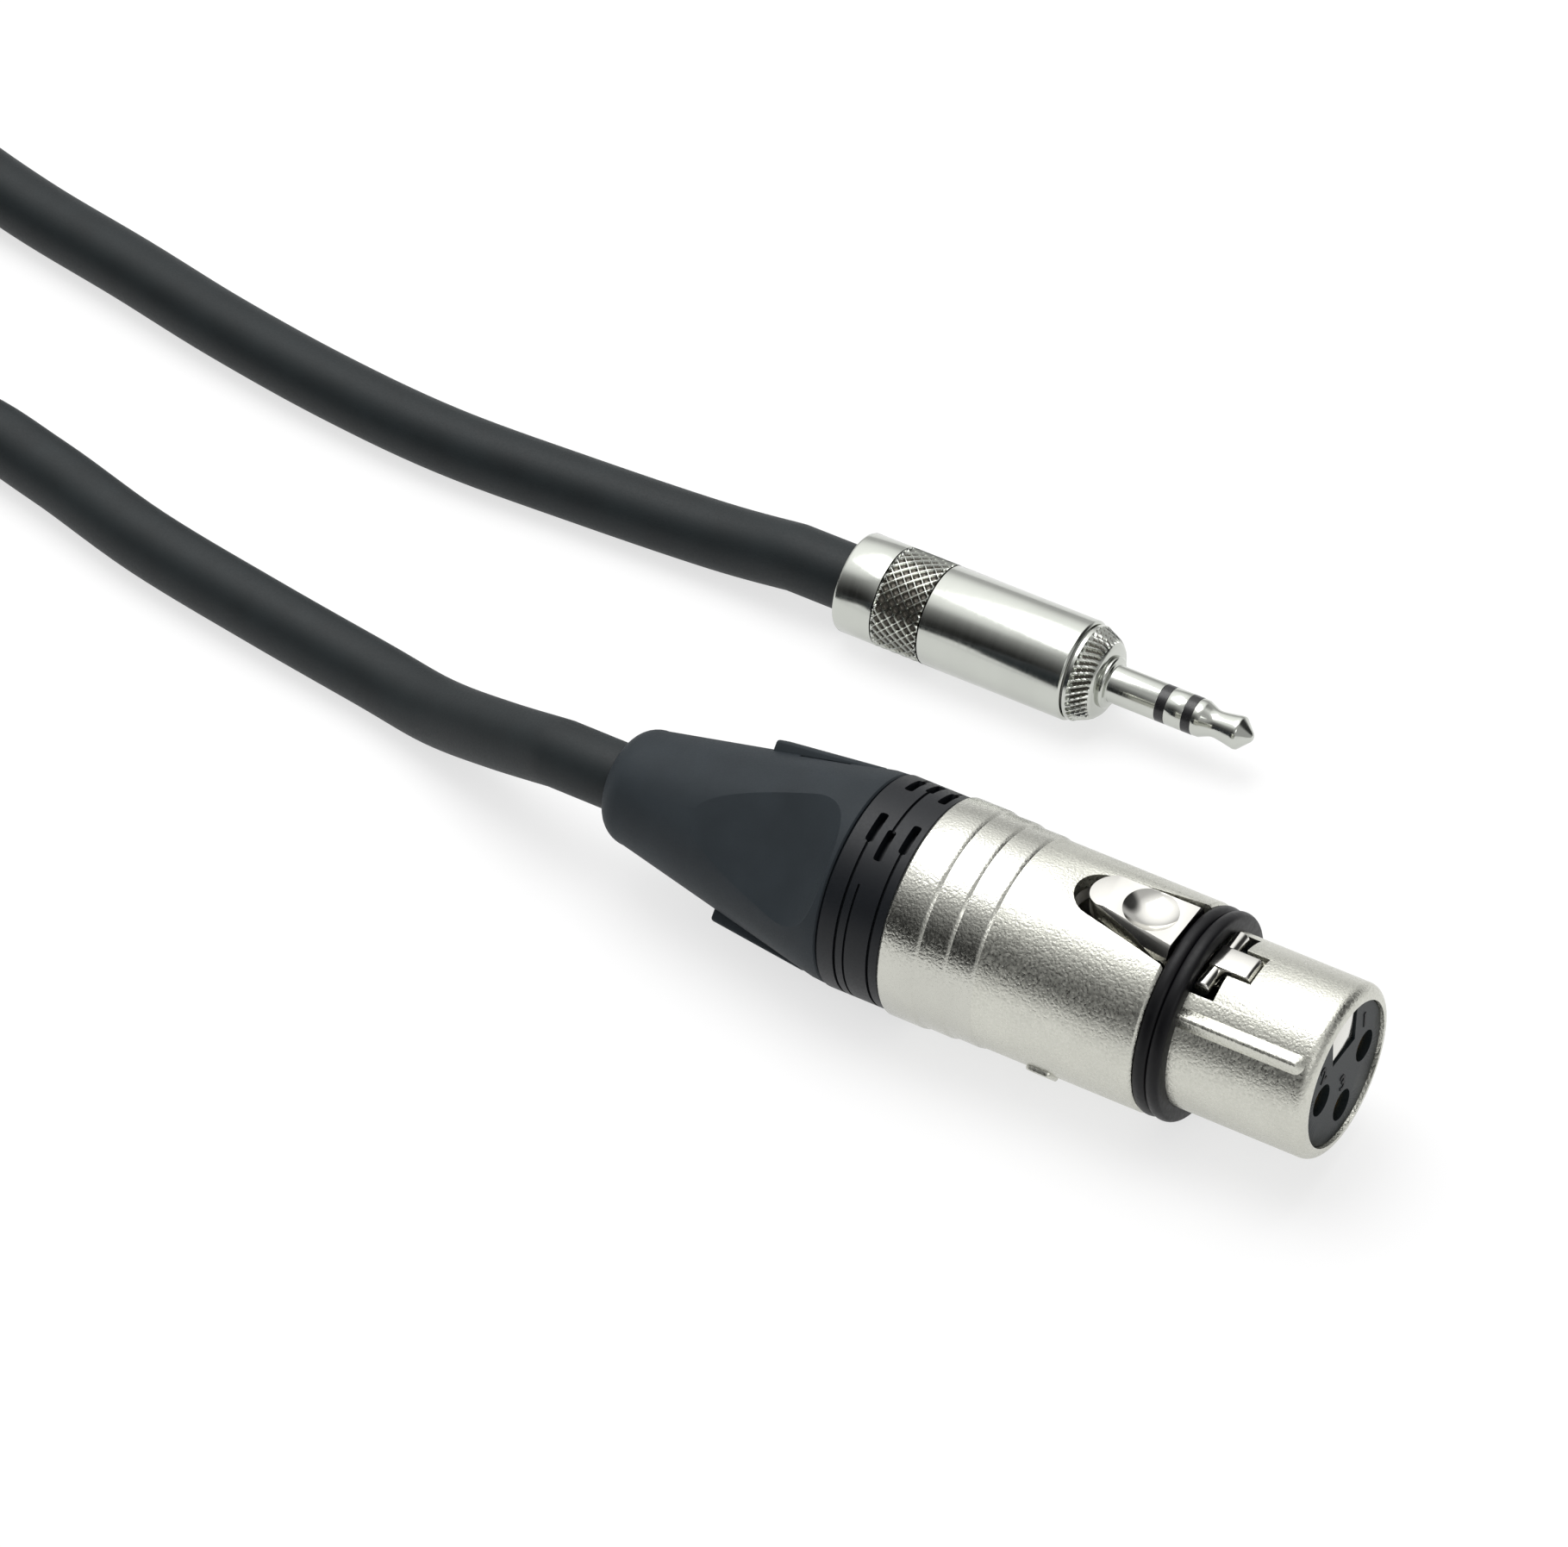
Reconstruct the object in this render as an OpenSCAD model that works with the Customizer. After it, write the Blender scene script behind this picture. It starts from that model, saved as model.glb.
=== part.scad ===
// Balanced audio lead: a three-pole cable socket with a push latch, a 3.5 mm stereo jack plug,
// and the round cable between them, whose slack is wound into a coil and held by a tie.
// +X runs out of the socket's mating face, +Z is up, and the lead lies on a level surface.

/* [Cable] */
// Outer diameter of the cable's jacket
cable_d = 6.2; // [5.8:0.1:6.5]
// Diameter of one insulated conductor inside the cable
conductor_d = 1.3; // [1.0:0.1:1.4]
// Gap between the jacket and the holes it passes through
cable_gap = 0.1; // [0.05:0.01:0.15]

/* [Coil] */
// Whole turns of the coil, shared by its four layers
whole_turns = 7; // [6:1:8]
// Step from one turn to the next, and from one layer to the next
coil_pitch = 6.7; // [6.65:0.05:6.9]
// Radius of the middle of the turns, to the cable's centre
coil_mean_r = 31.2; // [31:0.1:33]
// Width of the hook-and-loop tie
tie_w = 12; // [10:1:16]
// Thickness of the tie
tie_t = 0.8; // [0.6:0.1:1.0]

/* [Socket shell] */
// Outer diameter of the plug barrel
barrel_d = 16; // [15.8:0.1:16.2]
// Bore of the barrel, around the insert
barrel_bore = 13.5; // [13.3:0.1:13.7]
// Length of the barrel from its rim to the seal ring
barrel_len = 12.3; // [12:0.1:13]
// Step from the insert's face out to the barrel's rim
rim_proud = 0.35; // [0.2:0.05:0.5]
// Rounding of the barrel's rim
rim_round = 1.1; // [0.8:0.1:1.2]
// Outer diameter of the body behind the seal ring
body_d = 19.2; // [19:0.1:19.6]
// Bore of the body, for the insert's flange, the chuck and the collar
body_bore = 16.4; // [16.2:0.1:16.6]
// Length of the body behind the seal ring
body_len = 23.8; // [23.4:0.1:25]
// Shell left between the seal ring and the shoulder inside
shoulder_wall = 1.0; // [0.8:0.1:1.3]
// Length of each of the two raised rings at the body's rear
ring_len = 2.7; // [2:0.1:3]
// Length of the last raised ring
last_ring_len = 3.7; // [3:0.1:4.5]
// Height of the step from ring to ring
ring_step = 0.15; // [0.1:0.05:0.3]
// Width of the key rib along the barrel
key_w = 1.4; // [1:0.1:1.8]
// Height of the key rib above the barrel
key_h = 0.6; // [0.4:0.1:0.8]
// Angle of the key rib from the latch
key_angle = 49; // [45:1:60]

/* [Seal ring] */
// Width of the rubber ring
seal_w = 4.1; // [3.8:0.1:4.4]
// Outer diameter over its two ridges
seal_d = 19.1; // [18.8:0.1:19.4]
// Depth of the groove between the ridges
seal_groove = 0.45; // [0.3:0.05:0.8]

/* [Insert and contacts] */
// Diameter of the circle that the contacts stand on
contact_circle_d = 7.62; // [7.5:0.02:7.7]
// Bore of a contact, for a pin of the mating plug
contact_bore = 2.4; // [2.36:0.01:2.44]
// Wall of a contact
contact_wall = 0.22; // [0.18:0.01:0.26]
// Depth of a contact's bore
contact_depth = 13; // [12:0.5:13.5]
// Distance from the insert's face back to a contact
contact_recess = 0.8; // [0.5:0.1:1.2]
// Gap between moulded and turned parts that sit in each other
seat_gap = 0.05; // [0.03:0.01:0.08]
// Width of the latch slot along the top of the insert
slot_w = 3.9; // [3.8:0.1:4.1]
// Height of the slot's floor above the axis
slot_floor = 2.4; // [2.3:0.05:2.5]

/* [Latch] */
// Width of the latch's arm
arm_w = 3.4; // [3.2:0.1:3.5]
// Diameter of the trunnions that the latch turns on
trunnion_d = 1.0; // [0.9:0.05:1.1]
// Height of the trunnions above the axis
trunnion_z = 4.2; // [4.1:0.05:4.3]
// Running gap around a trunnion
trunnion_gap = 0.05; // [0.04:0.01:0.08]
// Width of the hook that locks the mating plug
hook_w = 2.4; // [2.2:0.1:2.5]
// Length of the hook
hook_len = 3.0; // [2.6:0.1:3.1]
// Height of the hook above the barrel
hook_proud = 0.6; // [0.4:0.1:0.8]
// Length of the push button
button_len = 8.2; // [8:0.1:8.4]
// Gap between the button and the window around it
button_gap = 0.5; // [0.4:0.05:0.6]
// Height of the button's rear above the body
button_proud = 0.7; // [0.5:0.1:0.9]
// Diameter of the thumb recess
recess_d = 4.9; // [4.5:0.1:5]
// Half width of the window at the seal ring
window_half = 4.25; // [4.1:0.05:4.4]
// Radius of the window's rounded rear end
window_end_r = 2.6; // [2.4:0.1:2.8]
// Length of the window behind the seal ring
window_len = 9.85; // [9.6:0.05:10.2]
// Outer diameter of the latch spring
spring_d = 2.8; // [2.6:0.1:3]
// Wire diameter of the latch spring
spring_wire = 0.35; // [0.3:0.01:0.38]

/* [Boot] */
// Outer diameter of the threaded collar
collar_d = 19.6; // [19.3:0.1:20]
// Length of the collar's ring outside the shell
collar_len = 7.2; // [7:0.1:8]
// Length of the soft boot behind the collar
boot_len = 24.1; // [23:0.1:26]
// Step from the collar's ridges down to the boot
boot_step = 0.1; // [0:0.05:0.2]
// Diameter of the boot where its end starts to round
boot_rear_d = 10.7; // [10.3:0.1:11.2]
// Rounding of the boot's rear end
boot_round = 2.6; // [2.2:0.1:2.8]
// Distance of the two grip flats from the axis
flat_offset = 7.0; // [6.8:0.1:7.4]
// Angle of the first grip flat from the top
flat_angle = 47; // [40:1:55]
// Distance from the collar back to the scoop that ends a flat
scoop_gap = 1.5; // [1:0.1:2.5]
// Radius of that scoop, seen from the side
scoop_r = 4; // [3:0.5:5]
// Distance from the collar back to a fin's rear step
fin_reach = 11.3; // [10:0.1:12]
// Height of a boot fin above the cone at its rear step
fin_h = 0.95; // [0.7:0.05:1.1]
// Width of a boot fin
fin_w = 2.6; // [2.2:0.1:3]

/* [Jack plug] */
// Distance of the jack's axis from the socket's axis
jack_y = 37.5; // [35:0.5:40]
// Position of the jack's tip along X
jack_tip_x = -29; // [-31:0.5:-27]
// Diameter of the jack's shaft
shaft_d = 3.5; // [3.45:0.01:3.55]
// Length of the jack from tip to shoulder
plug_len = 14; // [13.8:0.1:14.4]
// Length of the tip contact
tip_len = 5.5; // [5.3:0.1:5.7]
// Length of the ring contact
ring_contact_len = 1.75; // [1.6:0.05:1.9]
// Width of each insulating band
band_w = 0.9; // [0.8:0.05:1]
// Diameter of the jack's handle
handle_d = 9.45; // [9.3:0.05:9.6]
// Length of the handle
handle_len = 23.35; // [23:0.05:25]
// Length of the smooth stretch behind the knurled band
handle_rear_len = 4.1; // [3.8:0.1:4.5]
// Length of the knurled band
knurl_len = 4.65; // [4.2:0.05:5]
// Length of the fluted crown in front of the handle
crown_len = 2.3; // [2.1:0.1:2.5]
// Diameter of the crown at its front
crown_front_d = 6.9; // [6.4:0.1:7.4]
// Diameter of the crown at the handle
crown_rear_d = 9.0; // [8.6:0.1:9.2]
// Number of flutes around the crown
crown_flutes = 24; // [16:1:28]

/* [Hidden] */
round_fn = 96;
small_fn = 48;
skin = 0.01;

// Stations along the socket, from the rim back
barrel_r = barrel_d / 2;
body_r = body_d / 2;
cable_r = cable_d / 2;
rim_x = rim_proud;
seal_front_x = rim_x - barrel_len;
seal_rear_x = seal_front_x - seal_w;
shoulder_x = seal_rear_x - shoulder_wall;
shell_rear_x = seal_rear_x - body_len;
collar_rear_x = shell_rear_x - collar_len;
boot_rear_x = collar_rear_x - boot_len;
top_ring_r = body_r + 3 * ring_step;
floor_z = -top_ring_r;

// Insert, flange and chuck
insert_r = barrel_bore / 2 - 0.1;
flange_r = body_bore / 2 - 0.1;
flange_len = 4.75;
flange_rear_x = shoulder_x - flange_len;
trough_len = 4.5;
trough_rear_x = flange_rear_x - trough_len;
contact_r = contact_bore / 2 + contact_wall;
contact_hole_r = contact_r + seat_gap;
contact_places = [
    [contact_circle_d / 2, 0],
    [-contact_circle_d / 2, 0],
    [0, -contact_circle_d / 2]
];
cup_len = 3.6;
cup_rear_x = flange_rear_x - cup_len;
cup_bore_r = 0.9;
post_h = 0.9;

// Latch, hinged on its trunnions near the toe
trunnion_x = -2;
trunnion_r = trunnion_d / 2;
trunnion_half = slot_w / 2 + 0.7;
press_angle = 5.3;
toe_x = -0.3;
arm_low = 4.7;
arm_top = 5.95;
toe_low = slot_floor + 0.35;
toe_top = 6.25;
toe_rear_x = -3.4;
hook_front_x = seal_front_x + 3.65;
lug_r = 0.65;
lug_x = seal_front_x + 1.05;
lug_z = 7.0;
lug_half = 3.2;
tee_arm_len = 1.8;
tee_arm_half = lug_half + 0.25;
tee_stem_len = 4.0;
tee_stem_half = hook_w / 2 + 0.25;
button_front_x = seal_rear_x - 0.2;
button_rear_x = button_front_x - button_len;
button_end_r = window_end_r - button_gap;
button_half = window_half - button_gap;
wing_top = 6.5;
wing_low = 5.7;
wing_half = 4.5;
wing_front_x = shoulder_x - 0.45;
wing_rear_x = button_rear_x + 0.45;
spring_x = shoulder_x - 2.55;

// Chuck and collar
chuck_front_x = trough_rear_x;
chuck_shoulder_x = chuck_front_x - 7.9;
chuck_r = 7.1;
sleeve_bore_r = chuck_r + 0.1;
cone_front_x = chuck_shoulder_x - 6.1;
cone_rear_x = collar_rear_x + 2.05;
cone_rear_r = 4.8;
boot_front_d = collar_d - 2 * boot_step;
jacket_front_x = chuck_shoulder_x - 2.3;
spigot_r = 7.45;
spigot_len = 1.25;

// Stations along the jack, from the tip back
shaft_r = shaft_d / 2;
handle_r = handle_d / 2;
jack_z = floor_z + handle_r;
ring_front_x = jack_tip_x - tip_len - band_w;
ring_rear_x = ring_front_x - ring_contact_len;
sleeve_front_x = ring_rear_x - band_w;
jack_shoulder_x = jack_tip_x - plug_len;
crown_front_x = jack_shoulder_x - 0.5;
crown_rear_x = crown_front_x - crown_len;
handle_front_x = crown_rear_x - 0.25;
handle_rear_x = handle_front_x - handle_len;
knurl_rear_x = handle_rear_x + handle_rear_len;
knurl_front_x = knurl_rear_x + knurl_len;
handle_bore_r = 3.95;
thread_r = 3.85;
thread_rear_x = handle_front_x - 3.5;
liner_r = handle_bore_r - 0.05;
liner_wall = 0.35;
liner_rear_x = handle_rear_x + 1.3;
clamp_r = liner_r - liner_wall - 0.08;
clamp_rear_x = liner_rear_x + 1.2;
clamp_len = 3.2;
jack_jacket_x = clamp_rear_x + clamp_len + 0.6;
tip_rod_r = 0.45;
ring_tube_r = 0.98;
tube_gap = 0.02;
tip_lug_x = thread_rear_x - 4.2;
ring_lug_x = thread_rear_x - 2.2;

// The coil, wound clockwise in four layers that spiral in and out in turn
layers = 4;
coil_centre = [-222, 8];
coil_start_angle = 315;
coil_end_angle = 90;
coil_turns = whole_turns + (coil_start_angle - coil_end_angle) / 360;
layer_turns = coil_turns / layers;
half_spread = layer_turns * coil_pitch / 2;
turn_rings = 24;
climb = 0.25;
lie_z = floor_z + cable_r;
coil_low_z = lie_z + tie_t + seat_gap;

// Routes of the two free stretches, in whole and half millimetres
socket_route = [
    [-85, 2, -3],
    [-93, 4.5, -6],
    [-101, 6.5, lie_z],
    [-114, 8.5, lie_z],
    [-128, 11, lie_z],
    [-141, 14.5, lie_z],
    [-152, 16.5, lie_z],
    [-163, 14, lie_z],
    [-173, 6, lie_z]
];
jack_route = [
    [-84, 37.5, -6.5],
    [-98, 37, lie_z],
    [-112, 36.5, lie_z],
    [-125, 37.5, lie_z],
    [-138, 39.5, lie_z],
    [-150, 42, lie_z],
    [-163, 44.5, lie_z],
    [-174, 46.5, -5.5],
    [-185, 47, 0],
    [-196, 46.5, 7.5],
    [-206, 45.5, 12.5]
];
route_steps = 2;
tube_sides = 10;
coil_sides = 6;

// ---------- shared shapes ----------

// A solid of revolution about X from a list of [x, radius] points
module turned(profile, fn = round_fn) {
    rotate([0, 90, 0])
        rotate_extrude($fn = fn)
            polygon([for (p = profile) [p[1], p[0]]]);
}

// A cylinder along X between two stations
module rod(x_rear, x_front, r, fn = round_fn) {
    translate([x_rear, 0, 0])
        rotate([0, 90, 0])
            cylinder(h = x_front - x_rear, r = r, $fn = fn);
}

// A tube along X between two stations
module pipe(x_rear, x_front, r, bore_r, fn = round_fn) {
    difference() {
        rod(x_rear, x_front, r, fn);
        rod(x_rear - 1, x_front + 1, bore_r, fn);
    }
}

// A side outline in X and Z, given thickness about the XZ plane
module side_plate(outline, width) {
    translate([0, width / 2, 0])
        rotate([90, 0, 0])
            linear_extrude(height = width)
                polygon(outline);
}

// A front outline in Y and Z, drawn out along X between two stations
module front_bar(outline, x_rear, x_front) {
    translate([x_rear, 0, 0])
        rotate([90, 0, 90])
            linear_extrude(height = x_front - x_rear)
                polygon(outline);
}

module on_jack_axis() {
    translate([0, jack_y, jack_z])
        children();
}

// ---------- swept tubes ----------

function unit(v) = v / norm(v);
function tangent(line, i) =
    let (a = line[max(i - 1, 0)], b = line[min(i + 1, len(line) - 1)])
    unit(b - a);
function ring_at(p, t, r, sides) =
    let (across = unit(cross(t, [0, 0, 1])), up = cross(across, t))
    [for (i = [0:sides - 1])
        let (a = 360 * (i + 0.5) / sides)
        p + r * (cos(a) * up + sin(a) * across)];

// A tube of one polyhedron along a line, with flat ends
module swept(line, r, sides) {
    last = len(line) - 1;
    points = [for (i = [0:last]) each ring_at(line[i], tangent(line, i), r, sides)];
    walls = [for (i = [0:last - 1], j = [0:sides - 1])
        let (a = i * sides + j, b = i * sides + (j + 1) % sides)
        each [[a, b, b + sides], [a, b + sides, a + sides]]];
    front_cap = [for (j = [1:sides - 2]) [0, j + 1, j]];
    end = last * sides;
    rear_cap = [for (j = [1:sides - 2]) [end, end + j, end + j + 1]];
    polyhedron(points = points, faces = concat(walls, front_cap, rear_cap));
}

// A smooth line through route points, with the given number of steps between two points
function spline_point(a, b, c, d, t) =
    0.5 * (2 * b + (c - a) * t + (2 * a - 5 * b + 4 * c - d) * t * t
        + (3 * b - a - 3 * c + d) * t * t * t);
function smooth(route, steps) =
    let (n = len(route) - 1)
    [for (i = [0:n - 1], k = [0:steps - 1])
        spline_point(route[max(i - 1, 0)], route[i], route[i + 1], route[min(i + 2, n)], k / steps),
        route[n]];

// ---------- socket connector ----------

// Half-space helper: everything below a height
module below(z) {
    size = 400;
    translate([-size / 2, -size / 2, z - size])
        cube(size);
}

// Die-cast shell: barrel, body with three stepped rings, key rib, latch window and hook opening
module shell() {
    ring_1_x = shell_rear_x + last_ring_len + 2 * ring_len;
    ring_2_x = shell_rear_x + last_ring_len + ring_len;
    ring_3_x = shell_rear_x + last_ring_len;
    edge = 0.35;
    color("silver")
        difference() {
            union() {
                turned(concat(
                    [
                        [shell_rear_x, 0],
                        [shell_rear_x, top_ring_r - edge],
                        [shell_rear_x + edge, top_ring_r],
                        [ring_3_x, top_ring_r],
                        [ring_3_x, top_ring_r - ring_step],
                        [ring_2_x, top_ring_r - ring_step],
                        [ring_2_x, top_ring_r - 2 * ring_step],
                        [ring_1_x, top_ring_r - 2 * ring_step],
                        [ring_1_x, body_r],
                        [seal_rear_x, body_r],
                        [seal_rear_x, barrel_r],
                        [rim_x - rim_round, barrel_r]
                    ],
                    rim_points(),
                    [[rim_x, 0]]
                ));
                key_rib();
                locking_bump();
            }
            rod(shell_rear_x - 1, shoulder_x, body_bore / 2);
            rod(shoulder_x - 1, rim_x + 1, barrel_bore / 2);
            latch_window();
            hook_opening();
        }
}

// Rounded rim of the barrel
function rim_points(steps = 6) =
    [for (i = [1:steps])
        let (a = 90 * i / steps)
        [rim_x - rim_round + rim_round * sin(a), barrel_r - rim_round + rim_round * cos(a)]];

// Rib along the barrel that keys it to the mating shell, with a rounded front end
module key_rib() {
    front_x = rim_x - rim_round - 0.2 - key_w / 2;
    rotate([key_angle, 0, 0]) {
        translate([seal_front_x, -key_w / 2, barrel_r - 0.4])
            cube([front_x - seal_front_x, key_w, key_h + 0.4]);
        translate([front_x, 0, barrel_r - 0.4])
            cylinder(h = key_h + 0.4, d = key_w, $fn = small_fn);
    }
}

// Low bump on the body's underside
module locking_bump() {
    bump_w = 2.4;
    bump_len = 2.6;
    bump_x = shell_rear_x + 13.7;
    rotate([130, 0, 0])
        translate([bump_x, -bump_w / 2, body_r - 0.4])
            cube([bump_len, bump_w, 0.75]);
}

// Window for the push button: wide at the seal, round at the rear
module latch_window() {
    end_x = seal_rear_x - window_len + window_end_r;
    translate([0, 0, 5]) {
        linear_extrude(height = 8)
            polygon([
                [seal_rear_x, -window_half],
                [seal_rear_x, window_half],
                [end_x, window_end_r],
                [end_x, -window_end_r]
            ]);
        translate([end_x, 0, 0])
            cylinder(h = 8, r = window_end_r, $fn = round_fn);
    }
}

// T-shaped opening in the barrel for the hook and its cross lug
module hook_opening() {
    translate([seal_front_x, 0, 4]) {
        translate([0, -tee_arm_half, 0])
            cube([tee_arm_len, 2 * tee_arm_half, 6]);
        translate([0, -tee_stem_half, 0])
            cube([tee_stem_len, 2 * tee_stem_half, 6]);
    }
}

// Rubber ring with two rounded ridges, in the groove between barrel and body
module seal_ring() {
    steps = 24;
    low_r = seal_d / 2 - seal_groove;
    seat_r = barrel_r + seat_gap;
    color([0.06, 0.06, 0.07])
        turned(concat(
            [[seal_rear_x, seat_r]],
            [for (i = [0:steps])
                [
                    seal_rear_x + seal_w * i / steps,
                    low_r + seal_groove * pow(abs(sin(360 * i / steps)), 0.6)
                ]],
            [[seal_front_x, seat_r]]
        ));
}

// Moulded insert: carries the contacts, the latch's trunnions and the spring's post
module insert() {
    color([0.13, 0.13, 0.14]) {
        difference() {
            union() {
                rod(shoulder_x, 0, insert_r);
                intersection() {
                    rod(flange_rear_x, shoulder_x, flange_r);
                    below(slot_floor);
                }
                intersection() {
                    pipe(trough_rear_x, flange_rear_x + skin, flange_r, flange_r - 1.15);
                    below(-1.6);
                }
            }
            front_bar([
                [-slot_w / 2, slot_floor],
                [slot_w / 2, slot_floor],
                [slot_w / 2 + 0.3, barrel_r],
                [-slot_w / 2 - 0.3, barrel_r]
            ], flange_rear_x - 1, 1);
            for (p = contact_places)
                translate([0, p[0], p[1]])
                    rod(flange_rear_x - 1, 1, contact_hole_r, small_fn);
            lug_relief();
            button_relief();
            trunnion_seats();
        }
        translate([spring_x, 0, slot_floor - skin])
            cylinder(h = post_h + skin, r = spring_d / 2 - spring_wire - 0.3, $fn = small_fn);
    }
}

// Room in the insert for the cross lug when the latch is pressed
module lug_relief() {
    relief_rear_x = seal_front_x - 0.4;
    translate([relief_rear_x, -tee_arm_half, 4.8])
        cube([tee_arm_len + 0.65, 2 * tee_arm_half, 4]);
}

// Room behind the seal ring for the button's front edge, down to where it swings
module button_relief() {
    front_x = button_front_x + 0.35;
    rear_x = shoulder_x - 0.1;
    translate([rear_x, -window_half, arm_low - 0.5])
        cube([front_x - rear_x, 2 * window_half, 6]);
}

// Round seats for the trunnions, open at the top so that the latch drops in
module trunnion_seats() {
    seat_r = trunnion_r + trunnion_gap;
    half = trunnion_half + 0.1;
    translate([trunnion_x, half, trunnion_z])
        rotate([90, 0, 0])
            cylinder(h = 2 * half, r = seat_r, $fn = small_fn);
    translate([trunnion_x - seat_r, -half, trunnion_z])
        cube([2 * seat_r, 2 * half, 4]);
}

// One turned socket contact: slit spring bore in front, solder cup behind
module contact(i) {
    front_x = -contact_recess;
    slit = 0.3;
    cup_depth = 2.8;
    side = contact_places[i][0] < 0 ? -1 : 1;
    color([0.80, 0.66, 0.36])
        translate([0, contact_places[i][0], contact_places[i][1]])
            difference() {
                rod(cup_rear_x, front_x, contact_r, small_fn);
                rod(front_x - contact_depth, front_x + 1, contact_bore / 2, small_fn);
                rod(cup_rear_x - 1, cup_rear_x + cup_depth, cup_bore_r, small_fn);
                translate([front_x - 8, side > 0 ? 0 : -contact_r - 1, -slit / 2])
                    cube([9, contact_r + 1, slit]);
                translate([cup_rear_x - 1, -contact_r - 1, 0.3])
                    cube([1 + cup_depth - 0.6, 2 * contact_r + 2, 2]);
            }
}
module contact_1() contact(0);
module contact_2() contact(1);
module contact_3() contact(2);

// Latch: toe in the face slot, arm under the seal ring, hook, cross lug and push button
module latch() {
    hook_rear_x = hook_front_x - hook_len;
    hook_top = barrel_r + hook_proud;
    color([0.86, 0.86, 0.84]) {
        side_plate([
            [toe_x, toe_low],
            [toe_x, toe_top],
            [toe_rear_x, toe_top],
            [toe_rear_x - 0.6, arm_top],
            [wing_front_x + skin, arm_top],
            [wing_front_x + skin, wing_low],
            [wing_front_x + 2.2, arm_low],
            [toe_rear_x - 0.8, arm_low],
            [toe_rear_x, toe_low]
        ], arm_w);
        translate([trunnion_x, trunnion_half, trunnion_z])
            rotate([90, 0, 0])
                cylinder(h = 2 * trunnion_half, r = trunnion_r, $fn = small_fn);
        intersection() {
            side_plate([
                [hook_front_x, arm_low + 0.4],
                [hook_front_x, barrel_r - 0.5],
                [hook_front_x - 1.1, hook_top],
                [hook_rear_x, hook_top],
                [hook_rear_x, arm_low + 0.4]
            ], hook_w);
            front_bar([
                [-hook_w / 2, arm_low],
                [hook_w / 2, arm_low],
                [hook_w / 2, hook_top - 0.45],
                [hook_w / 2 - 0.45, hook_top],
                [-hook_w / 2 + 0.45, hook_top],
                [-hook_w / 2, hook_top - 0.45]
            ], hook_rear_x - 1, hook_front_x + 1);
        }
        translate([lug_x, lug_half, lug_z])
            rotate([90, 0, 0])
                cylinder(h = 2 * lug_half, r = lug_r, $fn = small_fn);
        button();
        translate([wing_rear_x, -wing_half, wing_low])
            cube([wing_front_x - wing_rear_x, 2 * wing_half, wing_top - wing_low]);
    }
}

// Push button in the window: its top rises to the rear, its flanks are bevelled,
// and a round recess with a level floor takes the thumb
module button() {
    end_x = button_rear_x + button_end_r;
    rear_top = body_r + button_proud;
    front_top = body_r - 0.15;
    flank_top = body_r - 0.9;
    difference() {
        intersection() {
            translate([0, 0, wing_low]) {
                linear_extrude(height = 8)
                    polygon([
                        [button_front_x, -button_half],
                        [button_front_x, button_half],
                        [end_x, button_end_r],
                        [end_x, -button_end_r]
                    ]);
                translate([end_x, 0, 0])
                    cylinder(h = 8, r = button_end_r, $fn = round_fn);
            }
            side_plate([
                [button_front_x, wing_low],
                [button_front_x, front_top],
                [end_x, rear_top],
                [button_rear_x, rear_top - 0.25],
                [button_rear_x, wing_low]
            ], 2 * body_r);
            front_bar([
                [-button_half - 1, wing_low],
                [button_half + 1, wing_low],
                [button_half + 0.2, flank_top - 0.3],
                [button_half - 1.35, rear_top + 0.2],
                [-button_half + 1.35, rear_top + 0.2],
                [-button_half - 0.2, flank_top - 0.3]
            ], button_rear_x - 1, button_front_x + 1);
        }
        translate([end_x + 2.1, 0, body_r + 0.02])
            cylinder(h = 3, d = recess_d, $fn = round_fn);
    }
}

// Small compression spring between the insert's post and the button
module latch_spring() {
    curls = 3.5;
    rings = 8;
    wire_r = spring_wire / 2;
    coil_r = spring_d / 2 - wire_r;
    low = slot_floor + wire_r + 0.02;
    high = wing_low - wire_r - 0.02;
    steps = curls * rings;
    color([0.75, 0.75, 0.76])
        swept([for (i = [0:steps])
            let (a = 360 * i / rings, z = low + (high - low) * i / steps)
            [spring_x + coil_r * cos(a), coil_r * sin(a), z]
        ], wire_r, 6);
}

// Sheet clip that joins the first contact to the shell's bore
module ground_clip() {
    sheet = 0.3;
    half = 1.2;
    reach = body_bore / 2 - 0.25;
    place = contact_places[0];
    color([0.82, 0.70, 0.42])
        difference() {
            union() {
                translate([flange_rear_x - sheet, place[0], place[1]])
                    rod(0, sheet, contact_r + 0.7, small_fn);
                translate([flange_rear_x - sheet, place[0], -half])
                    cube([sheet, reach - place[0], 2 * half]);
                translate([flange_rear_x - 3, reach - sheet, -half])
                    cube([3, sheet, 2 * half]);
            }
            translate([0, place[0], place[1]])
                rod(flange_rear_x - 1, flange_rear_x + 1, contact_r + 0.02, small_fn);
        }
}

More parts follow.
